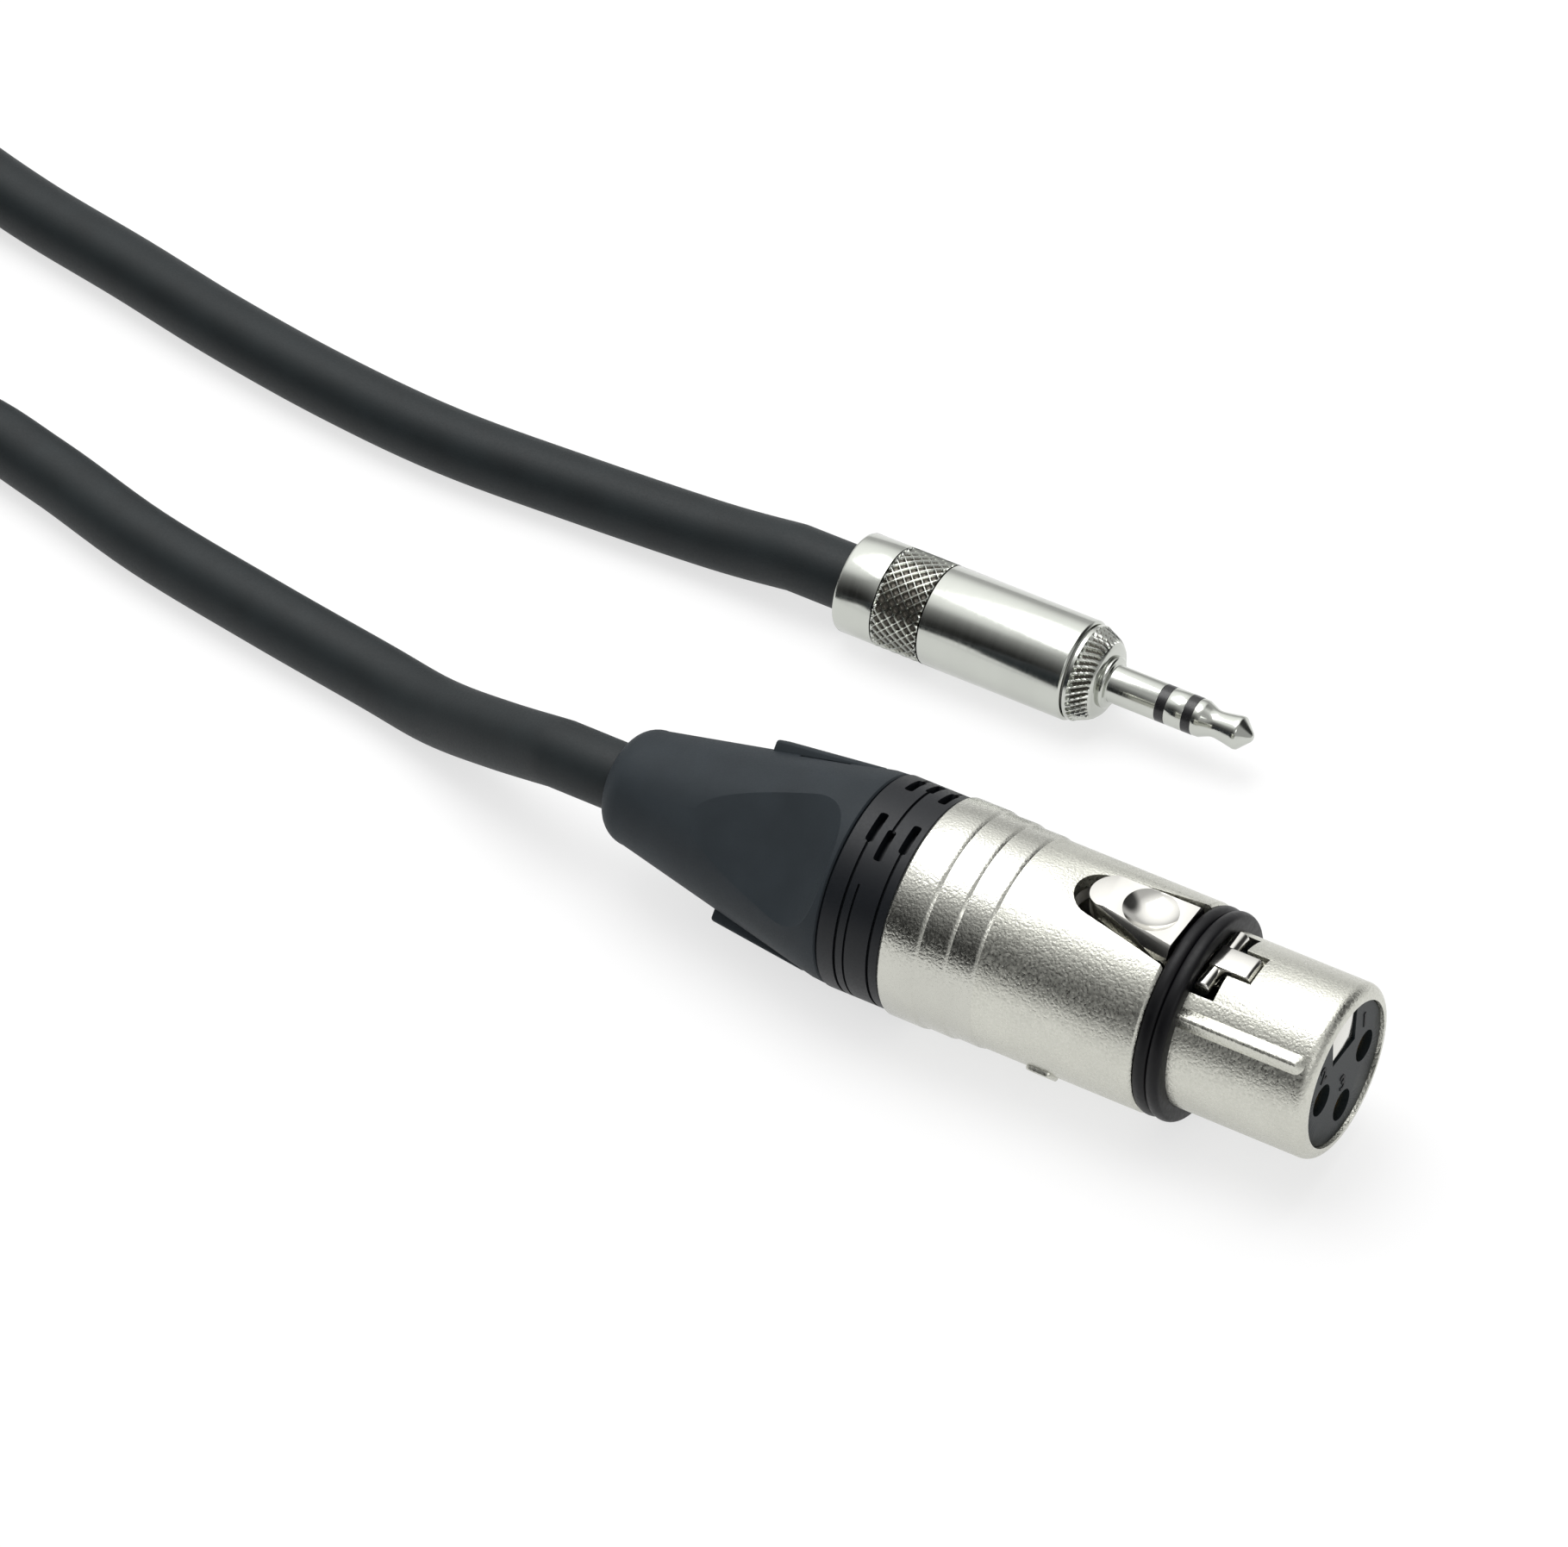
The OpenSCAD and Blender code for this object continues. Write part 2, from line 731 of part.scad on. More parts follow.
// Chuck: its slit cone closes on the jacket as the collar is screwed in
module chuck() {
    wire_room_r = 6.0;
    slit = 1.0;
    slit_front_x = jacket_front_x - 1.5;
    color([0.93, 0.92, 0.88])
        difference() {
            turned([
                [chuck_front_x, 0],
                [chuck_front_x, flange_r],
                [chuck_shoulder_x, flange_r],
                [chuck_shoulder_x, chuck_r],
                [cone_front_x, chuck_r],
                [cone_rear_x, cone_rear_r],
                [cone_rear_x, 0]
            ]);
            rod(jacket_front_x, chuck_front_x + 1, wire_room_r);
            rod(cone_rear_x - 1, jacket_front_x + 1, cable_r + cable_gap / 2);
            for (a = [0, 90])
                rotate([a, 0, 0])
                    translate([cone_rear_x - 1, -slit / 2, -chuck_r - 1])
                        cube([slit_front_x - cone_rear_x + 1, slit, 2 * chuck_r + 2]);
        }
}

// Threaded collar: fine grooves outside, a cone inside that closes the chuck
module boot_collar() {
    collar_r = collar_d / 2;
    thread_clear = 0.08;
    cone_gap = 0.1;
    groove_w = 0.35;
    groove_depth = 0.3;
    groove_stations = [1.3, 4.0, 5.0];
    seat_r = spigot_r + seat_gap;
    stop_x = collar_rear_x + spigot_len;
    color([0.10, 0.10, 0.11])
        turned(concat(
            [
                [chuck_shoulder_x, sleeve_bore_r],
                [chuck_shoulder_x, body_bore / 2 - thread_clear],
                [shell_rear_x, body_bore / 2 - thread_clear],
                [shell_rear_x, collar_r]
            ],
            [for (g = groove_stations)
                each [
                    [shell_rear_x - g + groove_w, collar_r],
                    [shell_rear_x - g + groove_w, collar_r - groove_depth],
                    [shell_rear_x - g, collar_r - groove_depth],
                    [shell_rear_x - g, collar_r]
                ]],
            [
                [collar_rear_x + groove_w, collar_r],
                [collar_rear_x, collar_r - groove_depth],
                [collar_rear_x, seat_r],
                [stop_x, seat_r],
                [stop_x, cone_rear_r + cone_gap],
                [cone_rear_x, cone_rear_r + cone_gap],
                [cone_front_x, sleeve_bore_r]
            ]
        ));
}

// Soft boot: a long cone with a rounded end, two grip flats and two fins
module boot_gland() {
    hole_r = cable_r + cable_gap;
    rear_r = boot_rear_d / 2;
    front_r = boot_front_d / 2;
    arc_r = rear_r - boot_round;
    arc_start = asin((hole_r + 0.3 - arc_r) / boot_round);
    arc_steps = 8;
    funnel_len = 6;
    color([0.11, 0.11, 0.12])
        difference() {
            union() {
                difference() {
                    turned(concat(
                        [[arc_point(arc_start)[0], hole_r]],
                        [for (i = [0:arc_steps]) arc_point(arc_start + (90 - arc_start) * i / arc_steps)],
                        [
                            [collar_rear_x, front_r],
                            [collar_rear_x, spigot_r],
                            [collar_rear_x + spigot_len, spigot_r],
                            [collar_rear_x + spigot_len, cone_rear_r],
                            [collar_rear_x - funnel_len, hole_r]
                        ]
                    ));
                    for (turn = [0, 180])
                        rotate([flat_angle + turn, 0, 0])
                            grip_flat();
                }
                for (turn = [90, 270])
                    rotate([flat_angle + turn, 0, 0])
                        boot_fin();
            }
            for (turn = [90, 270])
                rotate([flat_angle + turn, 0, 0])
                    fin_grooves();
        }
}
function arc_point(a) =
    [boot_rear_x + boot_round * (1 - cos(a)), boot_rear_d / 2 - boot_round * (1 - sin(a))];

// Radius of the boot's cone at a station
function cone_r(x) =
    boot_rear_d / 2 + (boot_front_d - boot_rear_d) / 2
        * (x - boot_rear_x - boot_round) / (boot_len - boot_round);

// What is cut away to leave a flat, ending in a round scoop near the collar
module grip_flat() {
    high = boot_front_d / 2 + 1;
    scoop_x = collar_rear_x - scoop_gap;
    edge_r = cone_r(scoop_x);
    scoop_angle = acos(1 - (edge_r - flat_offset) / scoop_r);
    scoop_start_x = scoop_x - scoop_r * sin(scoop_angle);
    scoop_steps = 8;
    side_plate(concat(
        [[boot_rear_x - 1, flat_offset]],
        [for (i = [0:scoop_steps])
            let (a = scoop_angle * i / scoop_steps)
            [scoop_start_x + scoop_r * sin(a), flat_offset + scoop_r * (1 - cos(a))]],
        [
            [scoop_x, high],
            [boot_rear_x - 1, high]
        ]
    ), 2 * high);
}

// Fin with a square rear step, which runs out into the cone at the front
module boot_fin() {
    rear_x = collar_rear_x - fin_reach;
    front_x = collar_rear_x - 1.5;
    side_plate([
        [rear_x, cone_r(rear_x) - 1],
        [rear_x, cone_r(rear_x) + fin_h],
        [front_x, cone_r(front_x) + 0.02],
        [front_x, cone_r(front_x) - 1]
    ], fin_w);
}

// Groove on each side of a fin
module fin_grooves() {
    groove_w = 0.5;
    rear_x = collar_rear_x - 8.6;
    front_x = collar_rear_x - 3.9;
    for (side = [-1, 1])
        translate([0, side * (fin_w / 2 + groove_w / 2), 0])
            side_plate([
                [rear_x, cone_r(rear_x) - 0.45],
                [front_x, cone_r(front_x) - 0.45],
                [front_x, cone_r(front_x) + 2],
                [rear_x, cone_r(rear_x) + 2]
            ], groove_w);
}

// ---------- cable ----------

// Jacket inside the socket, from the chuck to the boot's end
module jacket_in_socket() {
    color([0.08, 0.08, 0.09])
        rod(boot_rear_x, jacket_front_x, cable_r);
}

// Insulated wire from the jacket's end to a place [x, y, z], bent like an S
function wire_line(from, to, steps = 7) =
    [for (i = [0:steps])
        let (t = i / steps, u = max(0, min(1, (t - 0.15) / 0.7)), e = u * u * (3 - 2 * u))
        [from[0] + (to[0] - from[0]) * t, from[1] + (to[1] - from[1]) * e,
            from[2] + (to[2] - from[2]) * e]];
module conductor(i) {
    bundle_r = conductor_d;
    angles = [30, 150, 270];
    cup_overlap = 1.6;
    color(["white", "red", "navy"][i])
        swept(wire_line(
            [jacket_front_x, bundle_r * cos(angles[i]), bundle_r * sin(angles[i])],
            [cup_rear_x + cup_overlap, contact_places[i][0], contact_places[i][1]]
        ), conductor_d / 2, 8);
}
module conductor_1() conductor(0);
module conductor_2() conductor(1);
module conductor_3() conductor(2);

// Coil centreline: the radius falls and rises at a steady rate, and each climb to the
// next layer takes the half turn in which the spiral reverses
function coil_radius(turn) =
    let (in_layer = turn / layer_turns, k = floor(in_layer), f = in_layer - k)
    coil_mean_r + half_spread - 2 * half_spread * (k % 2 == 0 ? f : 1 - f);
function coil_height(turn) =
    let (k = round(turn / layer_turns), off = turn - k * layer_turns)
    let (up = k < 1 || k >= layers ? 0 : max(-1, min(1, off / climb)))
    let (ease = up * (3 - up * up) / 2)
    let (below_k = k < 1 ? 0 : k >= layers ? layers - 1 : k - 0.5 + ease / 2)
    coil_low_z + coil_pitch * below_k;
function coil_point(turn) =
    let (a = coil_start_angle - 360 * turn, r = coil_radius(turn))
    [coil_centre[0] + r * cos(a), coil_centre[1] + r * sin(a), coil_height(turn)];
coil_steps = round(coil_turns * turn_rings);
coil_core = [for (i = [0:coil_steps]) coil_point(coil_turns * i / coil_steps)];
start_way = [-cos(coil_start_angle - 90), -sin(coil_start_angle - 90), 0];
end_way = [cos(coil_end_angle - 90), sin(coil_end_angle - 90), 0];
coil_start = coil_core[0] + cable_d * start_way;
coil_end = coil_core[coil_steps] + cable_d * end_way;
coil_line = concat([coil_start], coil_core, [coil_end]);

// Least gap between parts of the coil that aren't neighbours along the cable
near_rings = 8;
self_gap = min([for (i = [0:coil_steps - near_rings], j = [i + near_rings:coil_steps])
    norm(coil_core[i] - coil_core[j])]) - cable_d;
echo(coil_self_gap_mm = self_gap);

module cable_coil() {
    color([0.08, 0.08, 0.09])
        swept(coil_line, cable_r, coil_sides);
}

// Free stretches, straight for one diameter at both ends
function joined(start, start_way, route, end, end_way) =
    let (line = smooth(concat(
        [start + cable_d * start_way], route, [end + cable_d * end_way]
    ), route_steps))
    concat([start], line, [end]);
socket_line = joined([boot_rear_x, 0, 0], [-1, 0, 0], socket_route, coil_start, start_way);
jack_line = joined([handle_rear_x, jack_y, jack_z], [-1, 0, 0], jack_route, coil_end, end_way);
module cable_socket_end() {
    color([0.08, 0.08, 0.09])
        swept(socket_line, cable_r, tube_sides);
}
module cable_jack_end() {
    color([0.08, 0.08, 0.09])
        swept(jack_line, cable_r, tube_sides);
}
function line_length(line) =
    let (parts = [for (i = [1:len(line) - 1]) norm(line[i] - line[i - 1])])
    parts * [for (p = parts) 1];
echo(cable_length_mm = line_length(socket_line) + line_length(coil_line) + line_length(jack_line));

// Outline of a box with rounded corners, about the origin
function round_box(w, h, r, steps = 5) =
    [for (corner = [0:3], i = [0:steps])
        let (a = 90 * (corner + i / steps))
        [(w / 2 - r) * (corner == 0 || corner == 3 ? 1 : -1) + r * cos(a),
            (h / 2 - r) * (corner < 2 ? 1 : -1) + r * sin(a)]];

// Hook-and-loop tie around the turns, on the side away from the connectors
module coil_tie() {
    tie_angle = 200;
    bow = 1.0;
    room_w = 2 * half_spread + cable_d + 2 * bow;
    room_h = (layers - 1) * coil_pitch + cable_d + 2 * seat_gap;
    corner = 2.6;
    color([0.05, 0.05, 0.06])
        translate([coil_centre[0], coil_centre[1], floor_z + tie_t + room_h / 2])
            rotate([0, 0, tie_angle])
                translate([coil_mean_r, tie_w / 2, 0])
                    rotate([90, 0, 0])
                        linear_extrude(height = tie_w)
                            difference() {
                                polygon(round_box(room_w + 2 * tie_t, room_h + 2 * tie_t, corner + tie_t));
                                polygon(round_box(room_w, room_h, corner));
                            }
}

// ---------- jack plug ----------

// Jacket inside the jack's handle
module jacket_in_jack() {
    color([0.08, 0.08, 0.09])
        on_jack_axis()
            rod(handle_rear_x, jack_jacket_x, cable_r);
}

// Turned handle with a band for the knurl, screwed onto the jack's thread
module jack_handle() {
    edge = 0.45;
    line_w = 0.3;
    line_depth = 0.15;
    wall = 1.2;
    hole_r = cable_r + cable_gap;
    color([0.82, 0.82, 0.80])
        on_jack_axis()
            turned([
                [handle_front_x, handle_bore_r],
                [handle_front_x, handle_r - edge / 2],
                [handle_front_x - edge / 2, handle_r],
                [knurl_front_x + line_w, handle_r],
                [knurl_front_x + line_w, handle_r - line_depth],
                [knurl_front_x, handle_r - line_depth],
                [knurl_front_x, handle_r],
                [knurl_rear_x, handle_r],
                [knurl_rear_x, handle_r - line_depth],
                [knurl_rear_x - line_w, handle_r - line_depth],
                [knurl_rear_x - line_w, handle_r],
                [handle_rear_x + edge, handle_r],
                [handle_rear_x, handle_r - edge],
                [handle_rear_x, hole_r],
                [handle_rear_x + wall, hole_r],
                [handle_rear_x + wall, handle_bore_r]
            ]);
}

// Insulating tube inside the handle
module jack_liner() {
    color([0.90, 0.90, 0.88, 0.6])
        on_jack_axis()
            pipe(liner_rear_x, thread_rear_x - 0.2, liner_r, liner_r - liner_wall);
}

// Sleeve contact: shaft tube, fluted crown, thread, ground arm and crimped clamp in one piece
module jack_sleeve() {
    bore_r = 1.37;
    flange_r = 2.6;
    crown_front_r = crown_front_d / 2;
    crown_rear_r = crown_rear_d / 2;
    flute_r = 0.3;
    flute_tilt = atan((crown_rear_r - crown_front_r) / crown_len);
    grip_r = cable_r + cable_gap / 2;
    color([0.80, 0.78, 0.72])
        on_jack_axis() {
            difference() {
                turned([
                    [sleeve_front_x, bore_r],
                    [sleeve_front_x, shaft_r],
                    [jack_shoulder_x, shaft_r],
                    [jack_shoulder_x, flange_r],
                    [crown_front_x, flange_r],
                    [crown_front_x, crown_front_r],
                    [crown_rear_x, crown_rear_r],
                    [crown_rear_x, thread_r],
                    [thread_rear_x, thread_r],
                    [thread_rear_x, bore_r]
                ]);
                for (i = [1:crown_flutes])
                    rotate([360 * i / crown_flutes, 0, 0])
                        translate([crown_front_x, 0, crown_front_r])
                            rotate([0, -90 + flute_tilt, 0])
                                translate([0, 0, -0.5])
                                    cylinder(h = crown_len + 1.5, r = flute_r, $fn = 12);
            }
            difference() {
                pipe(clamp_rear_x, clamp_rear_x + clamp_len, clamp_r, grip_r);
                translate([clamp_rear_x - 1, -1.6, 0])
                    cube([clamp_len + 2, 3.2, clamp_r + 1]);
            }
            intersection() {
                pipe(clamp_rear_x + clamp_len - 0.5, thread_rear_x + 0.8, clamp_r, grip_r);
                below(-2.6);
            }
        }
}

// Insulating band and tube between the sleeve and the ring contact
module ring_insulator() {
    color([0.05, 0.05, 0.05])
        on_jack_axis()
            turned([
                [thread_rear_x - 0.6, ring_tube_r + tube_gap],
                [thread_rear_x - 0.6, 1.35],
                [sleeve_front_x, 1.35],
                [sleeve_front_x, shaft_r],
                [ring_rear_x, shaft_r],
                [ring_rear_x, ring_tube_r + tube_gap]
            ]);
}

// Ring contact on its tube, with a round solder lug behind
module jack_ring() {
    bore_r = 0.72;
    lug_r = 2.6;
    lug_t = 0.35;
    color([0.82, 0.80, 0.74])
        on_jack_axis()
            turned([
                [ring_lug_x, bore_r],
                [ring_lug_x, lug_r],
                [ring_lug_x + lug_t, lug_r],
                [ring_lug_x + lug_t, ring_tube_r],
                [ring_rear_x, ring_tube_r],
                [ring_rear_x, shaft_r],
                [ring_front_x, shaft_r],
                [ring_front_x, bore_r]
            ]);
}

// Insulating band and tube between the ring and tip contacts
module tip_insulator() {
    color([0.05, 0.05, 0.05])
        on_jack_axis()
            turned([
                [ring_lug_x - 0.6, tip_rod_r + tube_gap],
                [ring_lug_x - 0.6, 0.7],
                [ring_front_x, 0.7],
                [ring_front_x, shaft_r],
                [ring_front_x + band_w, shaft_r],
                [ring_front_x + band_w, tip_rod_r + tube_gap]
            ]);
}

// Tip contact with its waist and cone, on a rod that ends in a solder lug
module jack_tip() {
    neck_r = 1.25;
    bulb_r = 1.56;
    lug_r = 1.2;
    base_x = jack_tip_x - tip_len;
    color([0.82, 0.80, 0.74])
        on_jack_axis()
            turned([
                [tip_lug_x, 0],
                [tip_lug_x, lug_r],
                [tip_lug_x + 0.35, lug_r],
                [tip_lug_x + 0.35, tip_rod_r],
                [base_x, tip_rod_r],
                [base_x, shaft_r - 0.02],
                [base_x + 0.7, shaft_r - 0.06],
                [jack_tip_x - 3.9, neck_r],
                [jack_tip_x - 3.4, neck_r],
                [jack_tip_x - 1.6, bulb_r],
                [jack_tip_x - 1.15, bulb_r - 0.04],
                [jack_tip_x - 0.25, 0.62],
                [jack_tip_x, 0.35],
                [jack_tip_x, 0]
            ]);
}

// Wires in the jack, from the jacket to the tip lug, the ring lug and the ground arm
module jack_wire(place, at_jacket) {
    swept_r = conductor_d / 2;
    on_jack_axis()
        swept(wire_line([jack_jacket_x, at_jacket[0], at_jacket[1]], place), swept_r, 8);
}
module jack_wire_tip() {
    color("red")
        jack_wire([tip_lug_x, 0, 0.45], [0, conductor_d]);
}
module jack_wire_ring() {
    color("white")
        jack_wire([ring_lug_x, 1.95, 0], [conductor_d, -0.5]);
}
module jack_wire_sleeve() {
    color([0.75, 0.50, 0.32])
        jack_wire([tip_lug_x - 1, 0, -cable_r + conductor_d / 2], [-conductor_d, -0.5]);
}

shell();
seal_ring();
insert();
contact_1();
contact_2();
contact_3();
latch();
latch_spring();
ground_clip();
chuck();
boot_collar();
boot_gland();
jacket_in_socket();
conductor_1();
conductor_2();
conductor_3();
cable_socket_end();
cable_coil();
cable_jack_end();
coil_tie();
jacket_in_jack();
jack_handle();
jack_liner();
jack_sleeve();
ring_insulator();
jack_ring();
tip_insulator();
jack_tip();
jack_wire_tip();
jack_wire_ring();
jack_wire_sleeve();
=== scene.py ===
import math

import bpy
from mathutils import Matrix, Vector


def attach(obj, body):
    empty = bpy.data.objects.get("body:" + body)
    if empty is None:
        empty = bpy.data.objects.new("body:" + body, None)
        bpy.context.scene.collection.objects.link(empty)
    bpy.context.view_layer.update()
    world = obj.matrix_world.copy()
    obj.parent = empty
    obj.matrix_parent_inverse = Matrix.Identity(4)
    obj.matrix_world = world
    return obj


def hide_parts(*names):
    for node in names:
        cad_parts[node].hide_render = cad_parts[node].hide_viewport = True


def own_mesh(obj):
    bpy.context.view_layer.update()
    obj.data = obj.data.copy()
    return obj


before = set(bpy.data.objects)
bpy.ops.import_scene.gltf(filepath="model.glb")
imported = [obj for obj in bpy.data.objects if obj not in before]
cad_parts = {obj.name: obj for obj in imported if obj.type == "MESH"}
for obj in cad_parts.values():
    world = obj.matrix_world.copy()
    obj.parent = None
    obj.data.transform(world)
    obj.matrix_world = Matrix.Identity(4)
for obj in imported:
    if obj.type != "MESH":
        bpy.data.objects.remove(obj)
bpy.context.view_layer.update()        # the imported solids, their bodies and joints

mm = 0.001               # every size below is in millimetres

# ---------- View ----------
# The lead is seen from in front and above, over the socket's open end, with a long lens
# that keeps both connectors and the first stretch of their cables in the picture.
look_at = Vector((-62.06, 12.27, -5.0)) * mm
view_azimuth = math.radians(30.6)
view_elevation = math.radians(43.33)
view_distance = 900 * mm
towards_camera = Vector((
    math.sin(view_azimuth) * math.cos(view_elevation),
    -math.cos(view_azimuth) * math.cos(view_elevation),
    math.sin(view_elevation),
))
bpy.ops.object.camera_add(
    location=look_at + view_distance * towards_camera,
    rotation=(math.pi / 2 - view_elevation, 0, view_azimuth),
)
camera = bpy.context.object
camera.data.lens = 235.5
camera.data.sensor_width = 36
camera.data.clip_start = 0.01
bpy.context.scene.camera = camera
bpy.context.scene.view_settings.view_transform = "Standard"

# ---------- Cable ----------
# One length of round microphone cable with a matte soft jacket. It leaves the socket's
# boot, lies on the surface, is wound into a coil of four layers and runs on to the jack.
cable_d = 6.2
floor_z = -10.05
lie_z = floor_z + cable_d / 2
boot_rear = Vector((-71.15, 0, 0))
jack_axis = (37.5, floor_z + 9.45 / 2)
handle_rear = Vector((-69.4, *jack_axis))

layers = 4
coil_centre = (-222, 8)
coil_start_angle = 315
coil_end_angle = 90
coil_turns = 7 + (coil_start_angle - coil_end_angle) / 360
layer_turns = coil_turns / layers
coil_pitch = 6.7
coil_mean_r = 31.2
half_spread = layer_turns * coil_pitch / 2
tie_t = 0.8
tie_gap = 0.05
coil_low_z = lie_z + tie_t + tie_gap
climb = 0.25
rings_per_turn = 60
route_steps = 7


def coil_place(turn):
    """The cable's centre after some turns: the spiral reverses and climbs at each layer."""
    layer, share = divmod(turn / layer_turns, 1)
    radius = coil_mean_r + half_spread - 2 * half_spread * (share if layer % 2 == 0 else 1 - share)
    near = round(turn / layer_turns)
    if near < 1:
        level = 0.0
    elif near >= layers:
        level = layers - 1
    else:
        rise = max(-1.0, min(1.0, (turn - near * layer_turns) / climb))
        level = near - 0.5 + rise * (3 - rise * rise) / 4
    angle = math.radians(coil_start_angle - 360 * turn)
    return Vector((
        coil_centre[0] + radius * math.cos(angle),
        coil_centre[1] + radius * math.sin(angle),
        coil_low_z + coil_pitch * level,
    ))


def run_through(points, steps):
    """A smooth line through route points."""
    line = []
    last = len(points) - 1
    for i in range(last):
        a, b, c, d = (points[max(0, min(last, i + k))] for k in (-1, 0, 1, 2))
        for k in range(steps):
            t = k / steps
            line.append(0.5 * (2 * b + (c - a) * t + (2 * a - 5 * b + 4 * c - d) * t ** 2
                               + (3 * b - a - 3 * c + d) * t ** 3))
    return line + [points[last]]


coil_rings = round(coil_turns * rings_per_turn)
coil = [coil_place(coil_turns * i / coil_rings) for i in range(coil_rings + 1)]
start_way = Vector((-math.cos(math.radians(coil_start_angle - 90)),
                    -math.sin(math.radians(coil_start_angle - 90)), 0))
end_way = Vector((math.cos(math.radians(coil_end_angle - 90)),
                  math.sin(math.radians(coil_end_angle - 90)), 0))
coil_start = coil[0] + cable_d * start_way
coil_end = coil[-1] + cable_d * end_way
socket_route = [(-85, 2, -3), (-93, 4.5, -6), (-101, 6.5, lie_z), (-114, 8.5, lie_z),
                (-128, 11, lie_z), (-141, 14.5, lie_z), (-152, 16.5, lie_z), (-163, 14, lie_z),
                (-173, 6, lie_z)]
jack_route = [(-84, 37.5, -6.5), (-98, 37, lie_z), (-112, 36.5, lie_z), (-125, 37.5, lie_z),
              (-138, 39.5, lie_z), (-150, 42, lie_z), (-163, 44.5, lie_z), (-174, 46.5, -5.5),
              (-185, 47, 0), (-196, 46.5, 7.5), (-206, 45.5, 12.5)]
back = Vector((-1, 0, 0))
socket_line = [boot_rear] + run_through(
    [boot_rear + cable_d * back] + [Vector(p) for p in socket_route]
    + [coil_start + cable_d * start_way], route_steps) + [coil_start]
jack_line = [handle_rear] + run_through(
    [handle_rear + cable_d * back] + [Vector(p) for p in jack_route]
    + [coil_end + cable_d * end_way], route_steps) + [coil_end]
cable_line = socket_line + coil + jack_line[::-1]

curve = bpy.data.curves.new("cable", "CURVE")
curve.dimensions = "3D"
curve.bevel_depth = cable_d / 2 * mm
curve.bevel_resolution = 12
curve.use_fill_caps = True
spline = curve.splines.new("POLY")
spline.points.add(len(cable_line) - 1)
for point, place in zip(spline.points, cable_line):
    point.co = (*(place * mm), 1)
spline.use_smooth = True
cable = bpy.data.objects.new("cable", curve)
bpy.context.scene.collection.objects.link(cable)


def finish(name, colour, roughness, metallic=0.0, grain=0.3, bump=0.004, spread=0.05,
           mottle=4.0, tone=0.12, shine=0.5, stretch=(1, 1, 1), centre=(0, 0, 0)):
    """A finish with fine grain in its gloss and relief, and a slow change of tone."""
    made = bpy.data.materials.new(name)
    made.use_nodes = True
    nodes, links = made.node_tree.nodes, made.node_tree.links
    shader = nodes["Principled BSDF"]
    shader.inputs["Metallic"].default_value = metallic
    shader.inputs["Specular IOR Level"].default_value = shine
    where = nodes.new("ShaderNodeTexCoord")
    mapping = nodes.new("ShaderNodeMapping")
    mapping.vector_type = "TEXTURE"
    mapping.inputs["Location"].default_value = [c * mm for c in centre]
    mapping.inputs["Scale"].default_value = stretch
    links.new(where.outputs["Object"], mapping.inputs["Vector"])
    fine = nodes.new("ShaderNodeTexNoise")
    fine.inputs["Scale"].default_value = 1 / (grain * mm)
    fine.inputs["Detail"].default_value = 3
    links.new(mapping.outputs["Vector"], fine.inputs["Vector"])
    slow = nodes.new("ShaderNodeTexNoise")
    slow.inputs["Scale"].default_value = 1 / (mottle * mm)
    slow.inputs["Detail"].default_value = 2
    links.new(mapping.outputs["Vector"], slow.inputs["Vector"])
    gloss = nodes.new("ShaderNodeMapRange")
    gloss.inputs["From Min"].default_value = 0.3
    gloss.inputs["From Max"].default_value = 0.7
    gloss.inputs["To Min"].default_value = roughness - spread
    gloss.inputs["To Max"].default_value = roughness + spread
    links.new(fine.outputs["Fac"], gloss.inputs["Value"])
    links.new(gloss.outputs["Result"], shader.inputs["Roughness"])
    shade = nodes.new("ShaderNodeValToRGB")
    shade.color_ramp.elements[0].position = 0.3
    shade.color_ramp.elements[0].color = (*[c * (1 - tone) for c in colour], 1)
    shade.color_ramp.elements[1].position = 0.7
    shade.color_ramp.elements[1].color = (*[min(1.0, c * (1 + tone)) for c in colour], 1)
    links.new(slow.outputs["Fac"], shade.inputs["Fac"])
    links.new(shade.outputs["Color"], shader.inputs["Base Color"])
    relief = nodes.new("ShaderNodeBump")
    relief.inputs["Strength"].default_value = 1
    relief.inputs["Distance"].default_value = bump * mm
    links.new(fine.outputs["Fac"], relief.inputs["Height"])
    links.new(relief.outputs["Normal"], shader.inputs["Normal"])
    return made


jacket = finish("jacket", (0.010, 0.014, 0.0155), 0.55, grain=0.18, bump=0.006, tone=0.15,
                shine=0.3)
curve.materials.append(jacket)
for node in ("jacket_in_socket", "jacket_in_jack"):
    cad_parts[node].data.materials.clear()
    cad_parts[node].data.materials.append(jacket)
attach(cable, "lead")
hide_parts("cable_socket_end", "cable_coil", "cable_jack_end")

# ---------- Cable tie ----------
# A band of hook-and-loop tape pulled tight around the coil, on the side away from the
# connectors. It is woven nylon, soft and matte, and its edges are heat cut.
tie_w = 12
tie_steps = 72
beside_tie = 0.5         # turns this near the band's edges still push it out
tie_angle = math.radians(200)
tie_out = Vector((math.cos(tie_angle), math.sin(tie_angle), 0))
bundle = []
for place in coil:
    away = place - Vector((*coil_centre, 0))
    if away.dot(tie_out) > 0 and abs(away.cross(tie_out).z) < tie_w / 2 + beside_tie:
        bundle.append((away.dot(tie_out), place.z))


def hugging(distance):
    """The line of a band pulled tight around the bundled cable, at a distance from it."""
    line = []
    for step in range(tie_steps):
        a = math.radians(360 / tie_steps * step)
        u, z = max(bundle, key=lambda spot: spot[0] * math.cos(a) + spot[1] * math.sin(a))
        line.append((u + distance * math.cos(a), z + distance * math.sin(a)))
    return line


